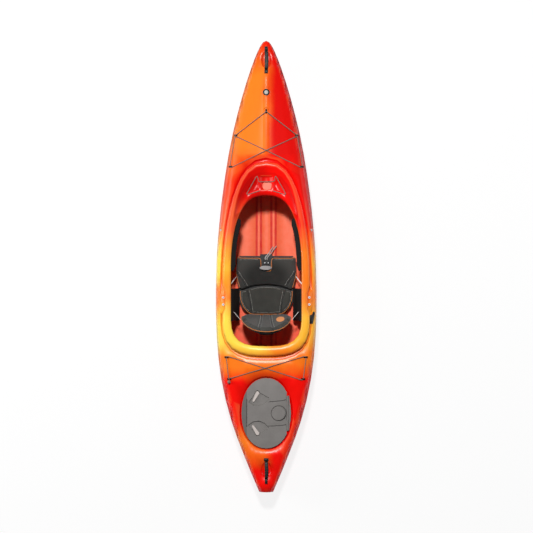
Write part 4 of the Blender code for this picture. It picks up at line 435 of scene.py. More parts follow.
@dataclass(frozen=True)
class MouldedPlastic:
    """Injection-moulded nylon or ABS: one colour through, with the fine grain of a spark-eroded mould.

    The grain is drawn coarser than the real 0.3 mm, so that it shows.
    """

    name: str
    colour: str
    wear_and_sheen: str
    roughness: float = 0.5
    grain_mm: float = 1.6
    depth_mm: float = 0.15

    def build(self) -> bpy.types.Material:
        """Make the material.

        Returns:
            The new material.
        """
        made, tree, shader = new_material(self.name)
        coords = object_coordinates(tree)
        grain = add_node(tree, "ShaderNodeTexNoise", {}, {
            "Vector": coords, "Scale": 1.0 / (self.grain_mm * MM), "Detail": 3.0})
        patches = add_node(tree, "ShaderNodeTexNoise", {}, {"Vector": coords, "Scale": 14.0, "Detail": 4.0})
        share = add_node(tree, "ShaderNodeMapRange", {}, {
            "Value": patches.outputs["Fac"], "From Min": 0.35, "From Max": 0.7, "To Max": 0.7})
        colour = mix_colour(tree, share.outputs[0], linear(self.colour), linear(self.wear_and_sheen))
        tree.links.new(colour, shader.inputs["Base Color"])
        shader.inputs["Roughness"].default_value = self.roughness
        bump(tree, shader, grain.outputs["Fac"], 0.35, self.depth_mm * MM)
        return made


@dataclass(frozen=True)
class HatchSkin(MouldedPlastic):
    """The hatch cover's grained skin, with painted shade darkening its port edge, where the moulding turns down.
    """

    strip_x: float = -0.138
    shade_colour: str = "#4C4947"

    def build(self) -> bpy.types.Material:
        """Make the material.

        Returns:
            The new material.
        """
        made = super().build()
        tree = made.node_tree
        shader = tree.nodes["Principled BSDF"]
        axes = add_node(tree, "ShaderNodeSeparateXYZ", {}, {0: object_coordinates(tree)})
        # Painted shade along the port edge, where the moulding turns down.
        strip = ramp_down(tree, axes.outputs["X"], self.strip_x - 0.002, self.strip_x + 0.002)
        before = shader.inputs["Base Color"].links[0].from_socket
        colour = mix_colour(tree, arithmetic(tree, "MULTIPLY", strip, 0.6), before, linear(self.shade_colour))
        tree.links.new(colour, shader.inputs["Base Color"])
        return made


@dataclass(frozen=True)
class WovenFabric:
    """Polyester seat cloth: two sets of threads, a soft sheen, paler where it rubs; where asked, paler towards
    its edges as a painted sheen on the cushion's rounded shoulders.

    The threads are drawn 1.4 mm apart, wider than the real 0.5 mm, so that they show.
    """

    name: str
    colour: str
    thread: str
    thread_mm: float = 1.4
    roughness: float = 0.92
    edge_sheen: str = ""
    edge_sheen_from: tuple[float, ...] = (0.0, -0.075, 0.215, 0.150)
    edge_sheen_reach: tuple[float, float] = (0.45, 1.05)

    def build(self) -> bpy.types.Material:
        """Make the material.

        Returns:
            The new material.
        """
        made, tree, shader = new_material(self.name)
        coords = object_coordinates(tree)
        axes = add_node(tree, "ShaderNodeSeparateXYZ", {}, {0: coords})
        turn = math.pi / (self.thread_mm * MM)
        warp = arithmetic(tree, "SINE", arithmetic(tree, "MULTIPLY", axes.outputs["X"], turn))
        along = arithmetic(tree, "ADD", axes.outputs["Y"], axes.outputs["Z"])
        weft = arithmetic(tree, "SINE", arithmetic(tree, "MULTIPLY", along, turn))
        weave = arithmetic(tree, "MULTIPLY_ADD", arithmetic(tree, "MULTIPLY", warp, weft), 0.5, 0.5)
        rub = add_node(tree, "ShaderNodeTexNoise", {}, {"Vector": coords, "Scale": 22.0, "Detail": 5.0})
        shade = add_node(tree, "ShaderNodeMapRange", {}, {
            "Value": rub.outputs["Fac"], "From Min": 0.3, "From Max": 0.75, "To Max": 0.5})
        share = arithmetic(tree, "ADD", arithmetic(tree, "MULTIPLY", weave, 0.5), shade.outputs[0])
        colour = mix_colour(tree, share, linear(self.colour), linear(self.thread))
        # Painted sheen: paler towards the cushion's rounded edges.
        if self.edge_sheen:
            x, y, wide, long = self.edge_sheen_from
            away = plan_distance(tree, coords, x, y, wide, long)
            wear_and_sheen = arithmetic(tree, "SUBTRACT", 1.0, ramp_down(tree, away, *self.edge_sheen_reach))
            colour = mix_colour(tree, wear_and_sheen, colour, linear(self.edge_sheen))
        tree.links.new(colour, shader.inputs["Base Color"])
        shader.inputs["Roughness"].default_value = self.roughness
        shader.inputs["Sheen Weight"].default_value = 0.25
        shader.inputs["Sheen Roughness"].default_value = 0.5
        bump(tree, shader, weave, 0.5, 0.3 * MM)
        return made


@dataclass(frozen=True)
class ClosedCellFoam:
    """Black EVA foam with a cut, finely pitted skin, quite matt."""

    name: str = "closed-cell foam"
    colour: str = "#070606"
    wall: str = "#100F0E"
    pore_mm: float = 2.2

    def build(self) -> bpy.types.Material:
        """Make the material.

        Returns:
            The new material.
        """
        made, tree, shader = new_material(self.name)
        coords = object_coordinates(tree)
        pores = add_node(tree, "ShaderNodeTexVoronoi", {}, {
            "Vector": coords, "Scale": 1.0 / (self.pore_mm * MM)})
        colour = mix_colour(tree, pores.outputs["Distance"], linear(self.colour), linear(self.wall))
        tree.links.new(colour, shader.inputs["Base Color"])
        shader.inputs["Roughness"].default_value = 0.95
        bump(tree, shader, pores.outputs["Distance"], 0.4, 0.3 * MM)
        return made


@dataclass(frozen=True)
class BraidedCord:
    """Braided polyester sheath: strands that cross in a fine diamond pattern, flecked with a tracer."""

    name: str
    colour: str
    fleck: str
    braid_mm: float = 4.0

    def build(self) -> bpy.types.Material:
        """Make the material.

        Returns:
            The new material.
        """
        made, tree, shader = new_material(self.name)
        coords = object_coordinates(tree)
        axes = add_node(tree, "ShaderNodeSeparateXYZ", {}, {0: coords})
        turn = math.tau / (self.braid_mm * MM)
        first = arithmetic(tree, "SINE", arithmetic(
            tree, "MULTIPLY", arithmetic(tree, "ADD", axes.outputs["X"], axes.outputs["Y"]), turn))
        second = arithmetic(tree, "SINE", arithmetic(
            tree, "MULTIPLY", arithmetic(tree, "SUBTRACT", axes.outputs["X"], axes.outputs["Y"]), turn))
        braid = arithmetic(tree, "MULTIPLY_ADD", arithmetic(tree, "MULTIPLY", first, second), 0.5, 0.5)
        colour = mix_colour(tree, braid, linear(self.colour), linear(self.fleck))
        tree.links.new(colour, shader.inputs["Base Color"])
        shader.inputs["Roughness"].default_value = 0.85
        bump(tree, shader, braid, 0.5, 0.3 * MM)
        return made


@dataclass(frozen=True)
class DrawnSteel:
    """Stainless steel, drawn or turned and tumbled: bright, with fine scratches."""

    name: str = "stainless steel"
    colour: str = "#C8C8C6"
    scratch_mm: float = 0.8

    def build(self) -> bpy.types.Material:
        """Make the material.

        Returns:
            The new material.
        """
        made, tree, shader = new_material(self.name)
        coords = object_coordinates(tree)
        scratch = add_node(tree, "ShaderNodeTexNoise", {}, {
            "Vector": coords, "Scale": 1.0 / (self.scratch_mm * MM), "Detail": 2.0})
        shader.inputs["Base Color"].default_value = linear(self.colour)
        shader.inputs["Metallic"].default_value = 1.0
        rough = add_node(tree, "ShaderNodeMapRange", {}, {
            "Value": scratch.outputs["Fac"], "To Min": 0.18, "To Max": 0.42})
        tree.links.new(rough.outputs[0], shader.inputs["Roughness"])
        return made


# The port ramps run paler and more orange than the starboard ones: partly the real blend of powders, partly
# painted light on the side that faces the lamps.
PORT_BANDS: Bands = (
    (-1.45, Powder.RED), (-1.25, Powder.ORANGE), (-1.12, Powder.RED), (-0.82, Powder.RED),
    (-0.70, Powder.ORANGE), (-0.63, Powder.ORANGE), (-0.55, Powder.YELLOW), (-0.42, Powder.YELLOW),
    (-0.25, Powder.ORANGE), (-0.15, Powder.ORANGE), (-0.05, Powder.YELLOW), (0.05, Powder.YELLOW),
    (0.30, Powder.CORAL), (0.60, Powder.SCARLET), (0.85, Powder.ORANGE), (1.35, Powder.ORANGE),
    (1.60, Powder.DEEP_RED))
STARBOARD_BANDS: Bands = (
    (-0.80, Powder.RED), (-0.68, Powder.ORANGE), (-0.60, Powder.ORANGE), (-0.48, Powder.AMBER),
    (-0.38, Powder.AMBER), (-0.20, Powder.ORANGE), (0.00, Powder.AMBER), (0.15, Powder.ORANGE),
    (0.28, Powder.DEEP_RED))
RIM_PORT_BANDS: Bands = (
    (-0.66, Powder.ORANGE), (-0.54, Powder.YELLOW), (-0.38, Powder.YELLOW), (-0.20, Powder.ORANGE),
    (0.00, Powder.AMBER), (0.25, Powder.CORAL), (0.50, Powder.DEEP_RED))
RIM_STARBOARD_BANDS: Bands = (
    (-0.62, Powder.ORANGE), (-0.50, Powder.AMBER), (-0.38, Powder.AMBER), (-0.22, Powder.ORANGE),
    (0.10, Powder.ORANGE), (0.30, Powder.RED))
# Forward of 0.40 the inside turns from coral to scarlet: painted shade under the front deck.
INTERIOR_BANDS: Bands = (
    (-0.65, Powder.SCARLET), (0.15, Powder.CORAL), (0.40, Powder.CORAL), (0.50, Powder.SCARLET))

SHELL = BlendedPolyethylene("blended polyethylene", PORT_BANDS, STARBOARD_BANDS, RIM_PORT_BANDS,
                            RIM_STARBOARD_BANDS)
INTERIOR = TubInterior("bare polyethylene inside the tub", INTERIOR_BANDS)
NYLON = MouldedPlastic("glass-filled nylon", "#050505", "#0E0E0D", 0.55)
HANDLE_ABS = MouldedPlastic("grey pull handle", "#8E8C8C", "#A4A2A2", 0.45)
# Darker grey for the hatch grooves' walls: painted shade in the grooves.
GROOVE_SHADE_ABS = MouldedPlastic("grey polyethylene darkened as groove shade", "#3C3937", "#45423F", 0.7)
HATCH_ABS = HatchSkin("grained grey polyethylene", "#716D6A", "#7C7875", 0.62, 2.4, 0.2)
GRIP_ABS = MouldedPlastic("pale acetal", "#C4BAB4", "#AFA6A2", 0.4)
SEAL = MouldedPlastic("sponge rubber seal", "#141414", "#1C1C1C", 0.85, 1.2, 0.1)
SEAT_CLOTH = WovenFabric("charcoal seat cloth", "#2B2B27", "#3D3C37")
THIGH_CLOTH = WovenFabric("black seat cloth", "#141412", "#22211E", edge_sheen="#3A3A37")
BACK_CLOTH = WovenFabric("grey seat cloth", "#30302D", "#42423E")
# Black for the tubes laid in the seams: painted seam shadow.
SEAM_SHADOW = WovenFabric("black tube as painted seam shadow", "#050505", "#0A0A09", 1.0)
PATCH = WovenFabric("plain orange patch", "#E08A44", "#EC9A58", 1.0)
PIPING = WovenFabric("orange piping", "#D8742A", "#E88C3C", 1.0)
WEBBING = WovenFabric("white webbing", "#F0ECE6", "#FFFFFF", 1.2)
STITCHES = WovenFabric("grey sewing thread", "#A4A29C", "#B4B2AC", 0.8)
FOAM = ClosedCellFoam()
BADGE = MouldedPlastic("pale badge", "#B4B0AA", "#9C9892", 0.5)
# The console disc is the shell's red plastic; its salmon colour is a painted highlight.
CONSOLE_DISC_HIGHLIGHT = MouldedPlastic("red polyethylene disc painted salmon as a highlight", "#EC5A3C", "#F0684A", 0.5)
BOLT = MouldedPlastic("bright zinc plate", "#EDEDF0", "#D8D8DC", 0.3)
SHOCK_CORD = BraidedCord("brown and grey shock cord", "#6A4A3C", "#8C8078")
PULL_CORD = BraidedCord("pale braided cord", "#C8BEB8", "#A8A8A8")
STEEL = DrawnSteel()
EYE_STEEL = DrawnSteel("blackened stainless steel", "#2C2C2C")


@functools.lru_cache(maxsize=None)
def finish(kind: object) -> bpy.types.Material:
    """The material of a finish, made once."""
    return kind.build()


def merged_copy(node: str) -> bmesh.types.BMesh:
    """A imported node's mesh, its loose triangles merged into faces that can be shaded smooth.

    Args:
        node: The node's name.

    Returns:
        A new bmesh in the frame's metres.
    """
    bm = bmesh.new()
    bm.from_mesh(frame["nodes"][node].data)
    bmesh.ops.remove_doubles(bm, verts=bm.verts, dist=WELD)
    return bm


def rejoined(nodes: tuple[str, ...], cuts: tuple[float, ...]) -> bmesh.types.BMesh:
    """The bays of one half of the shell, closed up again into the one moulding that they are.

    Args:
        nodes: The bays, from bow to stern.
        cuts: Where along the boat they were parted.

    Returns:
        A new bmesh in the frame's metres.
    """
    bm = bmesh.new()
    for node in nodes:
        bm.from_mesh(frame["nodes"][node].data)
    bmesh.ops.remove_doubles(bm, verts=bm.verts, dist=WELD)

    def at_cut(v: bmesh.types.BMVert) -> bool:
        """Whether a vertex lies on one of the cuts."""
        return any(abs(v.co.y - cut) < 0.25 * MM for cut in cuts)

    walls = [f for f in bm.faces if abs(f.normal.y) > 0.95 and all(at_cut(v) for v in f.verts)]
    bmesh.ops.delete(bm, geom=walls, context="FACES")
    bmesh.ops.remove_doubles(bm, verts=[v for v in bm.verts if at_cut(v)], dist=0.5 * MM)
    return bm


def body_of(node: str) -> str:
    """Name of the body that carries a node."""
    return frame["nodes"][node]["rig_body"]


def add_piece(name: str, bm: bmesh.types.BMesh, surface: object, body: str,
              nodes: tuple[str, ...] = (), sharp: float = 38.0) -> bpy.types.Object:
    """Turn a bmesh into a finished piece that rides on a body.

    Args:
        name: The piece's name.
        bm: Its mesh, in the frame's metres; it is freed.
        surface: The finish it wears.
        body: The body that carries it.
        nodes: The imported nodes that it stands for.
        sharp: Edges above this angle, in degrees, stay sharp.

    Returns:
        The new object.
    """
    mesh = bpy.data.meshes.new(name)
    bm.to_mesh(mesh)
    bm.free()
    mesh.shade_smooth()
    mesh.set_sharp_from_angle(angle=math.radians(sharp))
    made = bpy.data.objects.new(name, mesh)
    bpy.context.scene.collection.objects.link(made)
    mesh.materials.append(finish(surface))
    settle(made, body, nodes)
    return made


def settle(piece: bpy.types.Object, body: str, nodes: tuple[str, ...] = ()) -> None:
    """Put a piece on its body and hide the nodes that it stands for.

    Args:
        piece: The piece.
        nodes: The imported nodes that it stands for.
    """
    if body:
        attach(piece, body)
    if nodes:
        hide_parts(*nodes)


def add_bevel(piece: bpy.types.Object, width: float) -> None:
    """Round a piece's sharp edges.

    Args:
        piece: The piece.
        width: How far the rounding reaches.
    """
    step = piece.modifiers.new("eased edges", "BEVEL")
    step.width = width
    step.segments = 2
    step.limit_method = "ANGLE"
    step.angle_limit = math.radians(40.0)
    step.use_clamp_overlap = True


def add_subdivision(piece: bpy.types.Object, levels: int) -> None:
    """Subdivide a piece, the same for view and render.

    Args:
        piece: The piece.
        levels: How many times.
    """
    step = piece.modifiers.new("moulded curves", "SUBSURF")
    step.levels = levels
    step.render_levels = levels


def tube_piece(name: str, points: list[Vector], radius: float, surface: object, body: str,
               nodes: tuple[str, ...] = ()) -> bpy.types.Object:
    """Round cord along points, as a curve.

    Args:
        name: The piece's name.
        points: Its route.
        radius: Half its diameter.
        surface: The finish it wears.
        body: The body that carries it.
        nodes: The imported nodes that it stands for.

    Returns:
        The new curve object.
    """
    data = bpy.data.curves.new(name, "CURVE")
    data.dimensions = "3D"
    data.bevel_depth = radius
    data.bevel_resolution = 2
    data.use_fill_caps = True
    spline = data.splines.new("POLY")
    spline.points.add(len(points) - 1)
    for point, co in zip(spline.points, points):
        point.co = (*co, 1.0)
    data.materials.append(finish(surface))
    made = bpy.data.objects.new(name, data)
    bpy.context.scene.collection.objects.link(made)
    settle(made, body, nodes)
    return made


@dataclass
class Carried:
    """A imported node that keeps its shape, with merged faces, eased edges and its real finish."""

    node: str
    surface: object
    slot: Slot
    edge: float = 0.6 * MM
    sharp: float = 38.0

    def build(self) -> bpy.types.Object:
        """Make the piece that stands for the node.

        Returns:
            The new object.
        """
        bm = merged_copy(self.node)
        if self.edge > 0.0:
            bmesh.ops.dissolve_limit(bm, angle_limit=math.radians(1.0), verts=bm.verts, edges=bm.edges)
        made = add_piece(self.node + "_dressed", bm, self.surface, body_of(self.node),
                         (self.node,), self.sharp)
        if self.edge > 0.0:
            add_bevel(made, self.edge)
        return made


@dataclass
class Shell:
    """Deck and tub of the moulded shell, with the cockpit rim's own colours marked on the deck."""

    rim_half: float = 0.327
    rim_front: float = 0.775
    rim_rear: float = -0.668
    rim_side: tuple[float, float] = (-0.335, -0.15)
    front_powers: tuple[float, float] = (2.35, 2.0)
    rear_powers: tuple[float, float] = (2.8, 3.2)
    rim_blend: float = 0.02
    belly: float = 0.15
    looks_down: float = -0.2
    crease_full: float = 0.30
    crease_turn_limit: float = 1.2
    deck_nodes: tuple[str, ...] = ("deck_bow", "deck_front", "deck_rear", "deck_stern")
    hull_nodes: tuple[str, ...] = ("hull_bow", "hull_stern")
    cuts: tuple[float, ...] = (0.80, 0.05, -0.70)

    def level(self, x: float, y: float) -> float:
        """Where a place lies against the groove round the cockpit.

        Args:
            x: The place, to starboard.
            y: The place, forward.

        Returns:
            1 on the groove, less inside it, more outside.
        """
        across = abs(x) / self.rim_half
        if y >= self.rim_side[1]:
            along = (y - self.rim_side[1]) / (self.rim_front - self.rim_side[1])
            return across ** self.front_powers[0] + along ** self.front_powers[1]
        if y <= self.rim_side[0]:
            along = (self.rim_side[0] - y) / (self.rim_side[0] - self.rim_rear)
            return across ** self.rear_powers[0] + along ** self.rear_powers[1]
        return across

    def deck(self) -> bpy.types.Object:
        """The deck with its rim, console and recesses.

        Returns:
            The new object.
        """
        bm = rejoined(self.deck_nodes, self.cuts)
        mark = bm.verts.layers.float.new("rim")
        for v in bm.verts:
            v[mark] = 1.0 - smoothstep(self.level(v.co.x, v.co.y), 1.0, 1.0 + self.rim_blend)
        self.mark_creases(bm)
        for face in bm.faces:
            face.material_index = 1 if face.normal.z < self.looks_down else 0
        made = add_piece("deck_skin", bm, SHELL, "boat", self.deck_nodes, 50.0)
        made.data.materials.append(finish(INTERIOR))
        return made

    def mark_creases(self, bm: bmesh.types.BMesh) -> None:
        """Note for the shell's finish where the moulding folds in, above 0, and out, below 0; the finish paints
        shade into the folds and a highlight on the crests.

        Args:
            bm: The deck's mesh.
        """
        mark = bm.verts.layers.float.new("crease")
        for v in bm.verts:
            turn = long = 0.0
            for edge in v.link_edges:
                angle = edge.calc_face_angle_signed(0.0)
                if abs(angle) < self.crease_turn_limit:
                    turn -= angle * edge.calc_length()
                    long += edge.calc_length()
            v[mark] = max(min(turn / max(long, 1e-6) / self.crease_full, 1.0), -1.0)

    def tub(self) -> bpy.types.Object:
        """The tub below the parting line.

        Returns:
            The new object.
        """
        bm = rejoined(self.hull_nodes, self.cuts)
        for face in bm.faces:
            centre = face.calc_center_median()
            if face.normal.dot(Vector((centre.x, 0.0, centre.z - self.belly))) < 0.0:
                face.material_index = 1
        made = add_piece("tub_skin", bm, SHELL, "boat", self.hull_nodes, 50.0)
        made.data.materials.append(finish(INTERIOR))
        return made

    def build(self) -> None:
        """Make both halves."""
        self.deck()
        self.tub()


def sewn(points: list[Vector], value: Vector, half: float) -> float:
    """How far a seam pulls a place down.

    Args:
        points: The seam's route in plan.
        value: The place in plan.
        half: How far from the seam it is felt.

    Returns:
        1 on the seam, falling smoothly to 0.
    """
    best = half
    for a, b in zip(points, points[1:]):
        run = b - a
        share = min(max((value - a).dot(run) / run.length_squared, 0.0), 1.0)
        best = min(best, (a + run * share - value).length)
    return 1.0 - smoothstep(best, 0.0, half)


def spread(corners: tuple[Point, ...], step: float) -> list[Vector]:
    """Evenly spaced points on a smooth curve through corners.

    Args:
        corners: The corners, of any dimension.
        step: Distance between the points.

    Returns:
        The points, with the first and last corner among them.
    """
    knots = [Vector(c) for c in corners]
    knots = [knots[0] * 2.0 - knots[1]] + knots + [knots[-1] * 2.0 - knots[-2]]
    fine: list[Vector] = []
    for a, b, c, d in zip(knots, knots[1:], knots[2:], knots[3:]):
        for k in range(16):
            t = k / 16.0
            fine.append(0.5 * (b * 2.0 + (c - a) * t + (a * 2.0 - b * 5.0 + c * 4.0 - d) * t * t
                               + (b * 3.0 - a - c * 3.0 + d) * t ** 3))
    fine.append(knots[-2])
    total = sum((q - p).length for p, q in zip(fine, fine[1:]))
    count = max(int(round(total / step)), 2)
    out, gone, wanted = [fine[0]], 0.0, 1
    for p, q in zip(fine, fine[1:]):
        length = (q - p).length
        while wanted < count and gone + length >= total * wanted / count:
            out.append(p.lerp(q, (total * wanted / count - gone) / length))
            wanted += 1
        gone += length
    out.append(fine[-1])
    return out


def mirrored(route: tuple[Point, ...]) -> tuple[Point, ...]:
    """A route carried over to the other side of the boat."""
    return tuple((-corner[0], *corner[1:]) for corner in route)


def both_hands(*routes: tuple[Point, ...]) -> tuple[tuple[Point, ...], ...]:
    """Each route, followed by its mirror image."""
    return tuple(side for route in routes for side in (route, mirrored(route)))


@dataclass
class Cushion:
    """A stuffed cushion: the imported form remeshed, swollen as cloth and sewn down along its seams.

    Its routes are drawn in its own plane: across, along and out of its face.
    """

    node: str
    surface: object
    place: Matrix
    height: float
    seams: tuple[tuple[Point, ...], ...] = ()
    edges: tuple[tuple[Point, ...], ...] = ()
    stitches: tuple[tuple[Point, ...], ...] = ()
    bend: float = 0.0
    bend_at: float = 0.182
    voxel: float = 5.0 * MM
    pressure: float = 4.0
    frames: int = 20
    cap: float = 6.0 * MM
    shrink: float = 1.0 * MM
    seam_half: float = 11.0 * MM
    seam_depth: float = 6.0 * MM
    seam_shadow_radius: float = 2.4 * MM
    piping: float = 1.9 * MM
    piping_proud: float = 0.75
    dash: tuple[float, float] = (5.0 * MM, 3.2 * MM)
    thread: float = 1.1 * MM
    route_step: float = 3.0 * MM
    face_from: float = 0.4
    corner: tuple[float, ...] = ()
    corner_power: float = 6.0
    arc: tuple[float, ...] = ()
    arc_half: float = 0.18
    taper: float = 0.0
    flat_base: bool = True
    fill: float = 0.8
    slot: Slot = Slot.FABRIC

    def inner(self, point: Vector) -> Vector:
        """A point of the frame in the cushion's own plane, unbent."""
        local = self.place.inverted() @ point
        local.z -= self.bend * (local.x / self.bend_at) ** 2
        return local

    def outer(self, point: Vector) -> Vector:
        """A point of the cushion's own plane, bent, in the frame."""
        return self.place @ Vector((point.x, point.y, point.z + self.bend * (point.x / self.bend_at) ** 2))

    def square(self, local: Vector) -> None:
        """Push the rounded front corners out to the sharp ones of the real cover.

        Args:
            local: A point of the cushion's own plane, moved in place.
        """
        x0, y0, wide, long = self.corner
        across, along = (abs(local.x) - x0) / wide, (local.y - y0) / long
        if across <= 0.0 or along <= 0.0:
            return
        reach = math.hypot(across, along)
        power = self.corner_power
        push = ((across / reach) ** power + (along / reach) ** power) ** (-1.0 / power)
        push = 1.0 + (push - 1.0) * min(reach, 1.0) ** 2
        local.x = math.copysign(x0 + across * push * wide, local.x)
        local.y = y0 + along * push * long

    def curve(self, local: Vector) -> None:
        """Bow the cushion's edge at the hinge line forwards in the middle.

        Args:
            local: A point of the cushion's own plane, moved in place.
        """
        line, middle, side, reach = self.arc
        share = 1.0 - smoothstep(abs(local.y - line), 0.0, reach)
        local.y += share * (middle + (side - middle) * min(abs(local.x) / self.arc_half, 1.0) ** 2)
        local.x *= 1.0 - self.taper * share

    def swollen(self) -> bpy.types.Mesh:
        """Returns:
            The new mesh, in the frame's metres.
        """
        bm = merged_copy(self.node)
        mesh = bpy.data.meshes.new(self.node + "_cut")
        bm.to_mesh(mesh)
        bm.free()
        form = bpy.data.objects.new(self.node + "_cut", mesh)
        bpy.context.scene.collection.objects.link(form)
        remesh = form.modifiers.new("voxels", "REMESH")
        remesh.mode = "VOXEL"
        remesh.voxel_size = self.voxel
        even = bpy.data.meshes.new_from_object(form.evaluated_get(bpy.context.evaluated_depsgraph_get()))
        form.modifiers.clear()
        form.data = even
        for v in even.vertices:
            local = self.inner(v.co - v.normal * self.shrink)
            if self.corner:
                self.square(local)
            if self.arc:
                self.curve(local)
            v.co = self.outer(local)
        start = [v.co.copy() for v in even.vertices]
        cloth = form.modifiers.new("stuffing", "CLOTH")
        cloth.settings.use_pressure = True
        cloth.settings.uniform_pressure_force = self.pressure
        cloth.settings.effector_weights.gravity = 0.0
        for step in range(1, self.frames + 1):
            bpy.context.scene.frame_set(step)
        full = form.evaluated_get(bpy.context.evaluated_depsgraph_get()).to_mesh()
        for v, blown, first in zip(even.vertices, full.vertices, start):
            move = blown.co - first
            v.co = first + move * (min(move.length, self.cap) / max(move.length, 1e-9))
        form.modifiers.clear()
        bpy.context.scene.frame_set(1)
        bpy.data.objects.remove(form)
        return even

    def build(self) -> None:
        """Make the cushion, its piping, black tubes in its seams as painted seam shadow, and its stitches."""
        mesh = self.swollen()
        body = body_of(self.node)
        seams = [[Vector(p) for p in seam] for seam in self.seams]
        for v in mesh.vertices:
            local = self.inner(v.co)
            if self.flat_base:
                local.z = max(local.z, 0.0)
            if local.z > self.height * self.face_from:
                plan = Vector((local.x, local.y))
                local.z -= self.seam_depth * max((sewn(s, plan, self.seam_half) for s in seams), default=0.0)
            v.co = self.outer(local)
        bm = bmesh.new()
        bm.from_mesh(mesh)
        tree = BVHTree.FromBMesh(bm)
        made = add_piece(self.node + "_padded", bm, self.surface, body, (self.node,), 180.0)
        add_subdivision(made, 1)
        # A black tube in each seam stands in for the seam's shadow: painted shade.
        for k, seam in enumerate(self.seams):
            tube_piece(f"{self.node}_seam_{k}", self.laid(tree, seam, self.seam_shadow_radius * 0.5), self.seam_shadow_radius,
                       SEAM_SHADOW, body)
        for k, edge in enumerate(self.edges):
            tube_piece(f"{self.node}_piping_{k}", self.rimmed(tree, edge), self.piping, PIPING, body)
        if self.stitches:
            self.sew(tree, body)

    def laid(self, tree: BVHTree, route: tuple[Point, ...], lift: float) -> list[Vector]:
        """A plan route dropped on to the cushion's face.

        Args:
            tree: The cushion's surface.
            route: Corners in the cushion's plane.
            lift: How far above the surface the line lies.

        Returns:
            Points of the frame; those that miss the cushion are left out.
        """
        out = (self.place.to_3x3() @ Vector((0.0, 0.0, 1.0))).normalized()
        points = []
        for p in spread(route, self.route_step):
            top = self.outer(Vector((p.x, p.y, self.height + 0.03)))
            hit = tree.ray_cast(top, -out)[0]
            if hit is not None:
                points.append(hit + out * lift)
        return points

    def rimmed(self, tree: BVHTree, route: tuple[Point, ...]) -> list[Vector]:
        """A plan route brought to the nearest place on the cushion's shoulder.

        Args:
            tree: The cushion's surface.
            route: Corners in the cushion's plane, each with its height above the base.

        Returns:
            Points of the frame, half sunk in the surface.
        """
        points = []
        for p in spread(route, self.route_step):
            hit, normal = tree.find_nearest(self.outer(p))[:2]
            points.append(hit + normal * self.piping * self.piping_proud)
        return points

    def sew(self, tree: BVHTree, body: str) -> None:
        """Dashes of thread along the stitch lines, as one piece.

        Args:
            tree: The cushion's surface.
            body: The body that carries the cushion.
        """
        bm = bmesh.new()
        long, gap = self.dash
        for route in self.stitches:
            line = self.laid(tree, route, 0.5 * MM)
            gone = 0.0
            for a, b in zip(line, line[1:]):
                run = b - a
                if gone < long and 0.0 < run.length < 4.0 * self.route_step:
                    turn = run.to_track_quat("Z", "Y").to_matrix().to_4x4()
                    bmesh.ops.create_cone(bm, cap_ends=True, segments=6, radius1=self.thread,
                                          radius2=self.thread, depth=run.length * 1.1,
                                          matrix=Matrix.Translation((a + b) * 0.5) @ turn)
                gone = (gone + run.length) % (long + gap)
        add_piece(self.node + "_stitches", bm, STITCHES, body)


SEAT_PLACE = Matrix.Translation((0.0, 0.0, 0.0603))
THIGH_PLACE = Matrix.Translation((0.0, 0.0, 0.0658))
THIGH_SEAM = ((-0.214, -0.030), (-0.198, -0.060), (-0.176, -0.090), (-0.158, -0.120), (-0.145, -0.149),
              (-0.138, -0.165))
SEAT_SEAM = ((-0.140, -0.160), (-0.131, -0.190), (-0.119, -0.235), (-0.110, -0.290), (-0.104, -0.340))
BACK_SEAM = ((-0.030, 0.006), (-0.033, 0.100), (-0.040, 0.190), (-0.048, 0.280))
FRONT_EDGE = ((-0.206, 0.0640, 0.030), (-0.130, 0.0650, 0.034), (-0.060, 0.0650, 0.034),
              (-0.046, 0.0625, 0.034), (-0.0385, 0.053, 0.034), (-0.0375, 0.020, 0.034),
              (-0.0375, -0.012, 0.034))
FRONT_EDGE_STARBOARD = ((0.206, 0.0640, 0.030), (0.130, 0.0650, 0.034), (0.060, 0.0650, 0.034),
                        (0.046, 0.0625, 0.034), (0.0385, 0.053, 0.034), (0.0375, 0.020, 0.034),
                        (0.0375, -0.010, 0.034), (0.033, -0.021, 0.034), (0.020, -0.0255, 0.034),
                        (0.004, -0.0260, 0.034))
THIGH_SIDE = ((-0.219, -0.035, 0.020), (-0.212, -0.080, 0.020), (-0.202, -0.120, 0.020),
              (-0.192, -0.150, 0.020))
SEAT_EDGE_PORT = ((-0.190, -0.170, 0.022), (-0.190, -0.205, 0.022), (-0.184, -0.245, 0.022),
                  (-0.165, -0.290, 0.022), (-0.138, -0.324, 0.022), (-0.115, -0.338, 0.022),
                  (-0.060, -0.343, 0.022))
BACK_EDGE_PORT = ((-0.168, 0.024, 0.020), (-0.181, 0.060, 0.018), (-0.176, 0.120, 0.016),
                  (-0.160, 0.172, 0.014), (-0.132, 0.222, 0.012), (-0.095, 0.260, 0.012),
                  (-0.050, 0.285, 0.012))
SEAT_EDGE = (*SEAT_EDGE_PORT, (0.0, -0.344, 0.022), *mirrored(SEAT_EDGE_PORT)[::-1])
BACK_EDGE = (*BACK_EDGE_PORT, (0.0, 0.293, 0.012), *mirrored(BACK_EDGE_PORT)[::-1])
SEAT_STITCHES = (((-0.105, -0.163), (-0.060, -0.152), (0.0, -0.148), (0.060, -0.152), (0.105, -0.163)),
                 ((-0.097, -0.322), (-0.050, -0.326), (0.0, -0.327), (0.050, -0.326), (0.097, -0.322)))
SEAT_SIDE_STITCHES = (((-0.174, -0.186), (-0.174, -0.220), (-0.168, -0.255), (-0.150, -0.290),
                       (-0.122, -0.318)),
                      ((-0.147, -0.176), (-0.174, -0.183)),
                      ((-0.120, -0.172), (-0.108, -0.230), (-0.095, -0.318)))
THIGH_STITCHES = (((-0.198, -0.030), (-0.180, -0.062), (-0.160, -0.090), (-0.142, -0.118), (-0.131, -0.140)),
                  ((-0.190, 0.050), (-0.120, 0.053), (-0.060, 0.052)))
BACK_STITCHES = (((-0.040, 0.030), (-0.046, 0.150), (-0.058, 0.255)),)


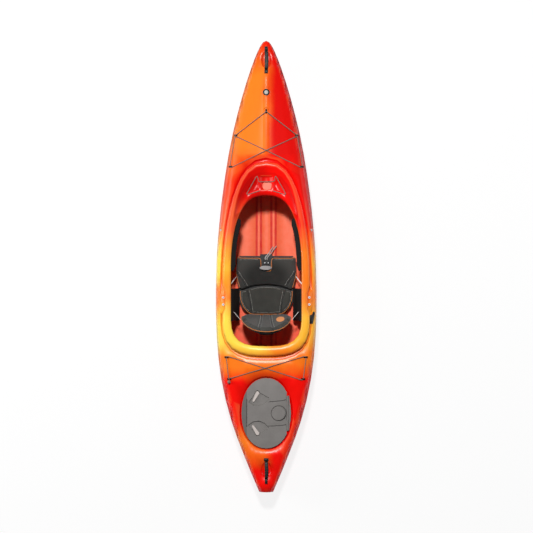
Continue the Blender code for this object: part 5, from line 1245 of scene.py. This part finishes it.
@dataclass
class Upholstery:
    """Thigh, seat and back cushions and the two thigh braces, sewn and edged with orange piping."""

    lean: float = 20.3
    back_foot: tuple[float, float, float] = (0.0, -0.338, 0.110)
    back_thick: float = 0.032
    back_bend: float = 0.015
    bend_at: float = 0.182
    hinge_arc: tuple[float, ...] = (-0.149, 0.0125, -0.0200, 0.075)
    patch_half: tuple[float, float] = (0.029, 0.046)
    patch_at: tuple[float, float] = (-0.100, 0.125)
    patch_levels: tuple[float, float] = (0.030, 0.0385)

    def back_place(self) -> Matrix:
        """Where the seat back's own plane lies.

        Returns:
            The matrix from that plane to the frame.
        """
        lean = math.radians(self.lean)
        up = Vector((0.0, -math.sin(lean), math.cos(lean)))
        out = Vector((0.0, math.cos(lean), math.sin(lean)))
        place = Matrix((Vector((-1.0, 0.0, 0.0)), up, out)).transposed().to_4x4()
        place.translation = Vector(self.back_foot) - out * self.back_thick
        return place

    def build(self) -> None:
        """Make the cushions."""
        Cushion("thigh_cushion", THIGH_CLOTH, THIGH_PLACE, 0.040, both_hands(THIGH_SEAM),
                (FRONT_EDGE, FRONT_EDGE_STARBOARD, *both_hands(THIGH_SIDE)), both_hands(*THIGH_STITCHES),
                corner=(0.175, 0.010, 0.041, 0.056), arc=self.hinge_arc, taper=0.035, cap=5.0 * MM).build()
        Cushion("seat_cushion", SEAT_CLOTH, SEAT_PLACE, 0.040, both_hands(SEAT_SEAM), (SEAT_EDGE,),
                SEAT_STITCHES + both_hands(*SEAT_SIDE_STITCHES), arc=self.hinge_arc, cap=5.0 * MM).build()
        Cushion("back_cushion", BACK_CLOTH, self.back_place(), self.back_thick, both_hands(BACK_SEAM),
                (BACK_EDGE,), both_hands(*BACK_STITCHES), bend=self.back_bend, bend_at=self.bend_at,
                cap=6.0 * MM).build()
        for node in ("thigh_pad_L", "thigh_pad_R"):
            Cushion(node, FOAM, Matrix.Identity(4), 1.0, cap=2.0 * MM, flat_base=False, fill=1.0,
                    slot=Slot.FOAM).build()
        self.patch()

    def patch(self) -> None:
        """Plain oval patch sewn on the seat back."""
        (wide, long), (x, y), (base, face) = self.patch_half, self.patch_at, self.patch_levels
        bm = bmesh.new()
        bmesh.ops.create_circle(bm, cap_ends=True, segments=40, radius=1.0)
        disc = bm.faces[:]
        solid = bmesh.ops.extrude_face_region(bm, geom=disc)
        top = [v for v in solid["geom"] if isinstance(v, bmesh.types.BMVert)]
        for v in bm.verts:
            v.co = Vector((v.co.x * wide + x, v.co.y * long + y, face if v in top else base))
            v.co.z += self.back_bend * (v.co.x / self.bend_at) ** 2
        bmesh.ops.recalc_face_normals(bm, faces=bm.faces)
        bmesh.ops.transform(bm, matrix=self.back_place(), verts=bm.verts)
        add_piece("back_patch", bm, PATCH, body_of("back_cushion"))


@dataclass
class PullCords:
    """The two ends of the cord that raises the leg lift, out of the cleat and over the front edge."""

    diameter: float = 7.0 * MM
    step: float = 6.0 * MM
    routes: tuple[tuple[str, tuple[Point, ...]], ...] = (
        ("pull_cord_A", ((-0.006, 0.0506, 0.0720), (-0.007, 0.066, 0.0700), (0.006, 0.082, 0.0697),
                         (0.019, 0.098, 0.0670), (0.034, 0.120, 0.0450), (0.0496, 0.144, 0.0212))),
        ("pull_cord_B", ((0.006, 0.0506, 0.0720), (0.007, 0.064, 0.0700), (0.020, 0.081, 0.0697),
                         (0.033, 0.098, 0.0670), (0.052, 0.122, 0.0420), (0.0740, 0.149, 0.0150))))

    def build(self) -> None:
        """Make both cords."""
        for node, corners in self.routes:
            points = spread(corners, self.step)
            made = tube_piece(node + "_braid", points, self.diameter * 0.5, PULL_CORD, body_of(node),
                              (node,))


@functools.lru_cache(maxsize=None)
def deck_surface() -> BVHTree:
    """The deck as a surface to lay things on, made once."""
    bm = rejoined(Shell.deck_nodes, Shell.cuts)
    tree = BVHTree.FromBMesh(bm)
    bm.free()
    return tree


@dataclass
class Disc:
    """A flat disc pressed on the deck: pale face, darker rim."""

    name: str
    centre: tuple[float, float]
    radius: float
    thick: float
    face: object
    edge: object
    slot: Slot
    edge_share: float = 0.78
    sunk: float = 0.6 * MM
    steepest: float = 10.0 * MM
    segments: int = 48

    def build(self) -> None:
        """Drape the disc over the deck and give its rim its own finish."""
        tree = deck_surface()
        bm = bmesh.new()
        rings = ((1.0, -self.sunk), (1.0, self.thick * 0.5), (0.96, self.thick), (self.edge_share, self.thick),
                 (self.edge_share * 0.66, self.thick), (self.edge_share * 0.33, self.thick))
        loops = []
        level = 0.0
        for share, lift in rings:
            loop = []
            for k in range(self.segments):
                turn = math.tau * k / self.segments
                x = self.centre[0] + self.radius * share * math.cos(turn)
                y = self.centre[1] + self.radius * share * math.sin(turn)
                hit = tree.ray_cast(Vector((x, y, 1.0)), Vector((0.0, 0.0, -1.0)))[0]
                if hit is not None and (not level or abs(hit.z - level) < self.steepest):
                    level = hit.z
                loop.append(bm.verts.new((x, y, level + lift)))
            loops.append(loop)
        for row, (low, high) in enumerate(zip(loops, loops[1:])):
            for k in range(self.segments):
                n = (k + 1) % self.segments
                face = bm.faces.new((low[k], low[n], high[n], high[k]))
                face.material_index = 0 if row >= 3 else 1
        bm.faces.new(loops[-1])
        bm.faces.new(loops[0][::-1])
        made = add_piece(self.name, bm, self.face, "boat")
        made.data.materials.append(finish(self.edge))


def swept(points: list[Vector], radius: float, closed: bool, sides: int = 10) -> bmesh.types.BMesh:
    """Round bar along points, closed up or with flat ends.

    Args:
        points: Its route.
        radius: Half its thickness.
        closed: Whether the route closes.
        sides: Faces round the bar.

    Returns:
        A new closed bmesh.
    """
    bm = bmesh.new()
    loops = []
    last = len(points) - 1
    for k, point in enumerate(points):
        after = points[(k + 1) % len(points)] if closed else points[min(k + 1, last)]
        before = points[k - 1] if closed else points[max(k - 1, 0)]
        ahead = (after - before).normalized()
        aside = ahead.cross(Vector((0.0, 0.0, 1.0))).normalized()
        over = aside.cross(ahead)
        loops.append([bm.verts.new(point + (aside * math.cos(t) + over * math.sin(t)) * radius)
                      for t in (math.tau * s / sides for s in range(sides))])
    for one, two in zip(loops, loops[1:] + (loops[:1] if closed else [])):
        for s in range(sides):
            bm.faces.new((one[s], one[(s + 1) % sides], two[(s + 1) % sides], two[s]))
    if not closed:
        bm.faces.new(loops[0][::-1])
        bm.faces.new(loops[-1])
    bmesh.ops.recalc_face_normals(bm, faces=bm.faces)
    return bm


@dataclass
class Hatch:
    """Oval hatch cover with its ring and panel lines cut in, its hinge, its seal and its two levers."""

    ring: tuple[float, float, float] = (0.089, -1.037, 0.053)
    lines: tuple[tuple[Point, ...], ...] = (
        ((0.019, -0.957), (0.060, -0.953), (0.110, -0.948), (0.141, -0.941)),
        ((0.012, -1.128), (0.060, -1.127), (0.110, -1.123), (0.141, -1.118)),
        ((-0.1375, -0.935), (-0.1375, -1.035), (-0.1375, -1.135)))
    groove: float = 2.6 * MM
    sharp: float = 11.0
    sink: float = 0.4 * MM

    def on_cover(self, tree: BVHTree, plan: list[Vector]) -> list[Vector]:
        """Plan points dropped on to the cover, a little below its skin.

        Args:
            tree: The cover's surface.
            plan: The points.

        Returns:
            Points of the frame; those that miss the cover are left out.
        """
        points = []
        for p in plan:
            hit = tree.ray_cast(Vector((p.x, p.y, 1.0)), Vector((0.0, 0.0, -1.0)))[0]
            if hit is not None:
                points.append(hit - Vector((0.0, 0.0, self.sink)))
        return points

    def build(self) -> None:
        """Make the cover and what is on it."""
        bm = merged_copy("hatch_cover")
        tree = BVHTree.FromBMesh(bm)
        cover = add_piece("hatch_cover_dressed", bm, HATCH_ABS, body_of("hatch_cover"),
                          ("hatch_cover",))
        cover.data.materials.append(finish(GROOVE_SHADE_ABS))
        x, y, radius = self.ring
        circle = [Vector((x + radius * math.cos(t), y + radius * math.sin(t)))
                  for t in (math.tau * k / 72 for k in range(72))]
        bars = [swept(self.on_cover(tree, circle), self.groove, True)]
        bars += [swept(self.on_cover(tree, spread(line, 5.0 * MM)), self.groove, False) for line in self.lines]
        for k, bar in enumerate(bars):
            self.cut(cover, bar, k)
        cover.data.shade_smooth()
        cover.data.set_sharp_from_angle(angle=math.radians(self.sharp))
        even = cover.modifiers.new("even shading", "WEIGHTED_NORMAL")
        even.keep_sharp = True
        for node, surface, slot in (("hatch_hinge_leaf", HATCH_ABS, Slot.HATCH),
                                    ("hatch_gasket", SEAL, Slot.SEAL),
                                    ("latch_lever_front", GRIP_ABS, Slot.NYLON),
                                    ("latch_lever_rear", GRIP_ABS, Slot.NYLON)):
            Carried(node, surface, slot, 0.5 * MM).build()

    def cut(self, cover: bpy.types.Object, bar: bmesh.types.BMesh, number: int) -> None:
        """Cut a bar out of the cover; the groove's walls wear a darker grey, painted shade in the groove.

        Args:
            cover: The hatch cover.
            bar: What is cut away; it is freed.
            number: The groove's number.
        """
        mesh = bpy.data.meshes.new(f"groove_{number}")
        bar.to_mesh(mesh)
        bar.free()
        tool = bpy.data.objects.new(f"groove_{number}", mesh)
        bpy.context.scene.collection.objects.link(tool)
        mesh.materials.append(finish(GROOVE_SHADE_ABS))
        step = cover.modifiers.new("groove", "BOOLEAN")
        step.operation = "DIFFERENCE"
        step.solver = "EXACT"
        step.material_mode = "TRANSFER"
        step.object = tool
        cut = bpy.data.meshes.new_from_object(cover.evaluated_get(bpy.context.evaluated_depsgraph_get()))
        cover.modifiers.clear()
        cover.data = cut
        bpy.data.objects.remove(tool)


BLACK_FITTINGS = (
    "bow_handle_cap_front", "bow_handle_cap_rear", "stern_handle_cap_front", "stern_handle_cap_rear",
    "foot_rail_L", "foot_rail_R", "foot_pedal_L", "foot_pedal_R", "seat_hanger_L", "seat_hanger_R", "seat_pan",
    "leg_lift_plate", "cord_cleat", "back_frame", "skeg_box", "skeg_blade", "skeg_cleat", "skeg_knob")
PAD_EYES = (
    "bow_eye_center", "bow_eye_mid_L", "bow_eye_mid_R", "bow_eye_rear_L", "bow_eye_rear_R",
    "stern_eye_front_L", "stern_eye_front_R", "stern_eye_rear_L", "stern_eye_rear_R")
STEEL_FITTINGS = ("brace_screw_L", "brace_screw_R", "seat_bolt_L_front", "seat_bolt_L_rear",
                  "seat_bolt_R_front", "seat_bolt_R_rear")
SHOCK_CORDS = ("bow_bungee", "stern_bungee", "console_cord")


@dataclass
class Fittings:
    """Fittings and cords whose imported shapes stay, and the small pieces on them."""

    strap: tuple[float, float] = (6.0 * MM, 1.6 * MM)
    rib: tuple[float, float, float] = (0.026, 0.005, 0.004)
    rib_step: float = 0.011
    ribs_each_way: int = 4
    rib_edge: float = 0.8 * MM
    bolt_x: float = 0.3045
    bolt_y: tuple[tuple[str, float], ...] = (("front", -0.2165), ("rear", -0.2665))
    cleat_screw_x: tuple[float, ...] = (-0.010, 0.014)
    cleat_screw_y: float = 0.0285
    strap_low: Point = (0.214, -0.070, 0.078)
    strap_high: Point = (0.262, -0.135, 0.225)
    strap_sag: float = 6.0 * MM
    strap_parts: int = 8

    def build(self) -> None:
        """Dress every carried fitting in its finish."""
        for node in BLACK_FITTINGS:
            Carried(node, NYLON, Slot.NYLON).build()
        for node in PAD_EYES:
            Carried(node, EYE_STEEL, Slot.STEEL).build()
        for node in STEEL_FITTINGS:
            Carried(node, STEEL, Slot.STEEL, 0.3 * MM).build()
        for node in SHOCK_CORDS:
            Carried(node, SHOCK_CORD, Slot.SHOCK_CORD, 0.0, 60.0).build()
        for node in ("bow_handle", "stern_handle"):
            Carried(node, NYLON, Slot.NYLON, 0.0, 60.0).build()
            self.ribs(node)
        Carried("stern_bulkhead", FOAM, Slot.FOAM, 2.0 * MM).build()
        for node in ("back_strap_L", "back_strap_R"):
            Carried(node, WEBBING, Slot.WEBBING, 0.0).build()
        Carried("pull_handle", HANDLE_ABS, Slot.HATCH, 1.5 * MM).build()
        Disc("bow_badge", (0.0, 1.231), 0.024, 1.2 * MM, BADGE, NYLON, Slot.NYLON, 0.58).build()
        # Each bolt head is a bright zinc rim round a flat black centre, painted shade standing in for its hex
        # socket.
        for side, x in (("L", -self.bolt_x), ("R", self.bolt_x)):
            for name, y in self.bolt_y:
                Disc(f"bolt_head_{side}_{name}", (x, y), 8.5 * MM, 5.0 * MM, NYLON, BOLT, Slot.STEEL,
                     0.40).build()
        for k, x in enumerate(self.cleat_screw_x):
            self.cleat_screw(k, x)
        for side in (-1.0, 1.0):
            self.front_strap(side)
        # Raised disc on the console, painted salmon as a highlight.
        Disc("console_disc", (0.006, 0.571), 0.033, 1.0 * MM, CONSOLE_DISC_HIGHLIGHT, CONSOLE_DISC_HIGHLIGHT, Slot.SHELL).build()

    def ribs(self, node: str) -> None:
        """Grip ribs moulded across the middle of a carry handle's strap.

        Args:
            node: The handle.
        """
        source = merged_copy(node)
        tree = BVHTree.FromBMesh(source)
        source.free()
        low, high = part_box(node)
        middle, x = (low[1] + high[1]) * 0.5, (low[0] + high[0]) * 0.5
        bm = bmesh.new()
        for k in range(-self.ribs_each_way, self.ribs_each_way + 1):
            y = middle + k * self.rib_step
            hit = tree.ray_cast(Vector((x, y, 1.0)), Vector((0.0, 0.0, -1.0)))[0]
            if hit is not None:
                size = Matrix.Diagonal((*self.rib, 1.0))
                bmesh.ops.create_cube(bm, size=1.0, matrix=Matrix.Translation(hit) @ size)
        bmesh.ops.bevel(bm, geom=bm.edges[:], offset=self.rib_edge, affect="EDGES", segments=2, profile=0.5,
                        material=-1)
        add_piece(node + "_ribs", bm, NYLON, "boat")

    def cleat_screw(self, number: int, x: float) -> None:
        """Pan head of a screw on the cord cleat.

        Args:
            number: The screw's number.
            x: Where it is, to starboard.
        """
        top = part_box("cord_cleat")[1][2]
        bm = bmesh.new()
        bmesh.ops.create_cone(bm, cap_ends=True, segments=20, radius1=4.2 * MM, radius2=3.4 * MM,
                              depth=2.6 * MM, matrix=Matrix.Translation((x, self.cleat_screw_y, top + 0.7 * MM)))
        add_piece(f"cleat_screw_{number}", bm, BOLT, body_of("cord_cleat"))

    def front_strap(self, side: float) -> None:
        """Strap from the leg lift up to the seat hanger: flat white webbing, bent where the lift turns.

        Args:
            side: -1 for port, 1 for starboard.
        """
        low, high = (Vector((side * x, y, z)) for x, y, z in (self.strap_low, self.strap_high))
        across = Vector((side, 0.35, 0.0)).normalized()
        flat = (high - low).cross(across).normalized()
        bm = bmesh.new()
        loops = []
        for k in range(self.strap_parts + 1):
            share = k / self.strap_parts
            middle = low.lerp(high, share) - Vector((0.0, 0.0, self.strap_sag * math.sin(math.pi * share)))
            loops.append([bm.verts.new(middle + across * a * self.strap[0] + flat * b * self.strap[1])
                          for a, b in ((-0.5, -0.5), (0.5, -0.5), (0.5, 0.5), (-0.5, 0.5))])
        for one, two in zip(loops, loops[1:]):
            for k in range(4):
                bm.faces.new((one[k], one[(k + 1) % 4], two[(k + 1) % 4], two[k]))
        bm.faces.new(loops[0][::-1])
        bm.faces.new(loops[-1])
        bmesh.ops.recalc_face_normals(bm, faces=bm.faces)
        name = "front_strap_" + ("L" if side < 0.0 else "R")
        made = add_piece(name, bm, WEBBING, "")
        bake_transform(made)


@dataclass
class Studio:
    """A plain pale floor, soft lamps and a camera straight above, bow up."""

    view: tuple[float, float] = (0.0021, 0.0021)
    deck_level: float = 0.25
    width: float = 3.779
    height: float = 14.0
    sensor: float = 36.0
    floor_half: float = 12.0
    lamps: tuple[tuple[str, Point, float, Point, float], ...] = (
        ("key over the bow", (-0.55, 3.7, 9.0), 0.9, (0.0, 0.2, 0.2), 860.0),
        ("port strip", (-6.0, 0.5, 3.0), 2.6, (0.0, 0.0, 0.2), 150.0),
        ("starboard fill", (6.0, 0.5, 2.2), 2.2, (0.0, 0.0, 0.2), 45.0))
    sky: float = 0.11
    floor_level: float = -0.0005
    floor_glow: float = 0.84

    def floor(self) -> None:
        """Pale floor; the camera sees most of it as white, with the boat's soft shadow."""
        bm = bmesh.new()
        bmesh.ops.create_grid(bm, x_segments=1, y_segments=1, size=self.floor_half)
        mesh = bpy.data.meshes.new("studio_floor")
        bm.to_mesh(mesh)
        bm.free()
        made = bpy.data.objects.new("studio_floor", mesh)
        made.location.z = self.floor_level
        bpy.context.scene.collection.objects.link(made)
        paint, tree, shader = new_material("pale studio floor")
        shader.inputs["Base Color"].default_value = linear("#F4F4F4")
        shader.inputs["Roughness"].default_value = 0.9
        seen = add_node(tree, "ShaderNodeLightPath").outputs["Is Camera Ray"]
        glow = add_node(tree, "ShaderNodeEmission", {}, {"Strength": 1.0})
        share = arithmetic(tree, "MULTIPLY", seen, self.floor_glow)
        both = add_node(tree, "ShaderNodeMixShader", {}, {0: share, 1: shader.outputs[0], 2: glow.outputs[0]})
        tree.links.new(both.outputs[0], tree.nodes["Material Output"].inputs["Surface"])
        mesh.materials.append(paint)

    def light(self) -> None:
        """Soft square lamps and a plain sky."""
        for name, place, size, target, power in self.lamps:
            data = bpy.data.lights.new(name, "AREA")
            data.shape = "SQUARE"
            data.size = size
            data.energy = power
            lamp = bpy.data.objects.new(name, data)
            lamp.location = place
            lamp.rotation_euler = (Vector(target) - Vector(place)).to_track_quat("-Z", "Y").to_euler()
            bpy.context.scene.collection.objects.link(lamp)
        world = bpy.data.worlds.new("plain sky")
        world.use_nodes = True
        world.node_tree.nodes["Background"].inputs["Color"].default_value = (1.0, 1.0, 1.0, 1.0)
        world.node_tree.nodes["Background"].inputs["Strength"].default_value = self.sky
        bpy.context.scene.world = world

    def camera(self) -> None:
        """Long lens straight above the boat, with the photograph's frame."""
        data = bpy.data.cameras.new("camera")
        data.sensor_width = self.sensor
        data.lens = self.sensor * (self.height - self.deck_level) / self.width
        data.clip_end = 60.0
        made = bpy.data.objects.new("camera", data)
        made.location = (*self.view, self.height)
        bpy.context.scene.collection.objects.link(made)
        bpy.context.scene.camera = made

    def build(self) -> None:
        """Set the stage."""
        self.camera()
        self.light()
        self.floor()
        bpy.context.scene.view_settings.view_transform = "Standard"


def main() -> None:
    """Dress the boat, set the stage and log each part as it is made."""
    logging.basicConfig(level=logging.INFO, format="%(message)s")
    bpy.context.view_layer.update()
    Studio().build()
    for part in (PullCords(), Shell(), Fittings(), Hatch(), Upholstery()):
        part.build()
        LOG.info("%s made", type(part).__name__)


if __name__ == "__main__":
    main()
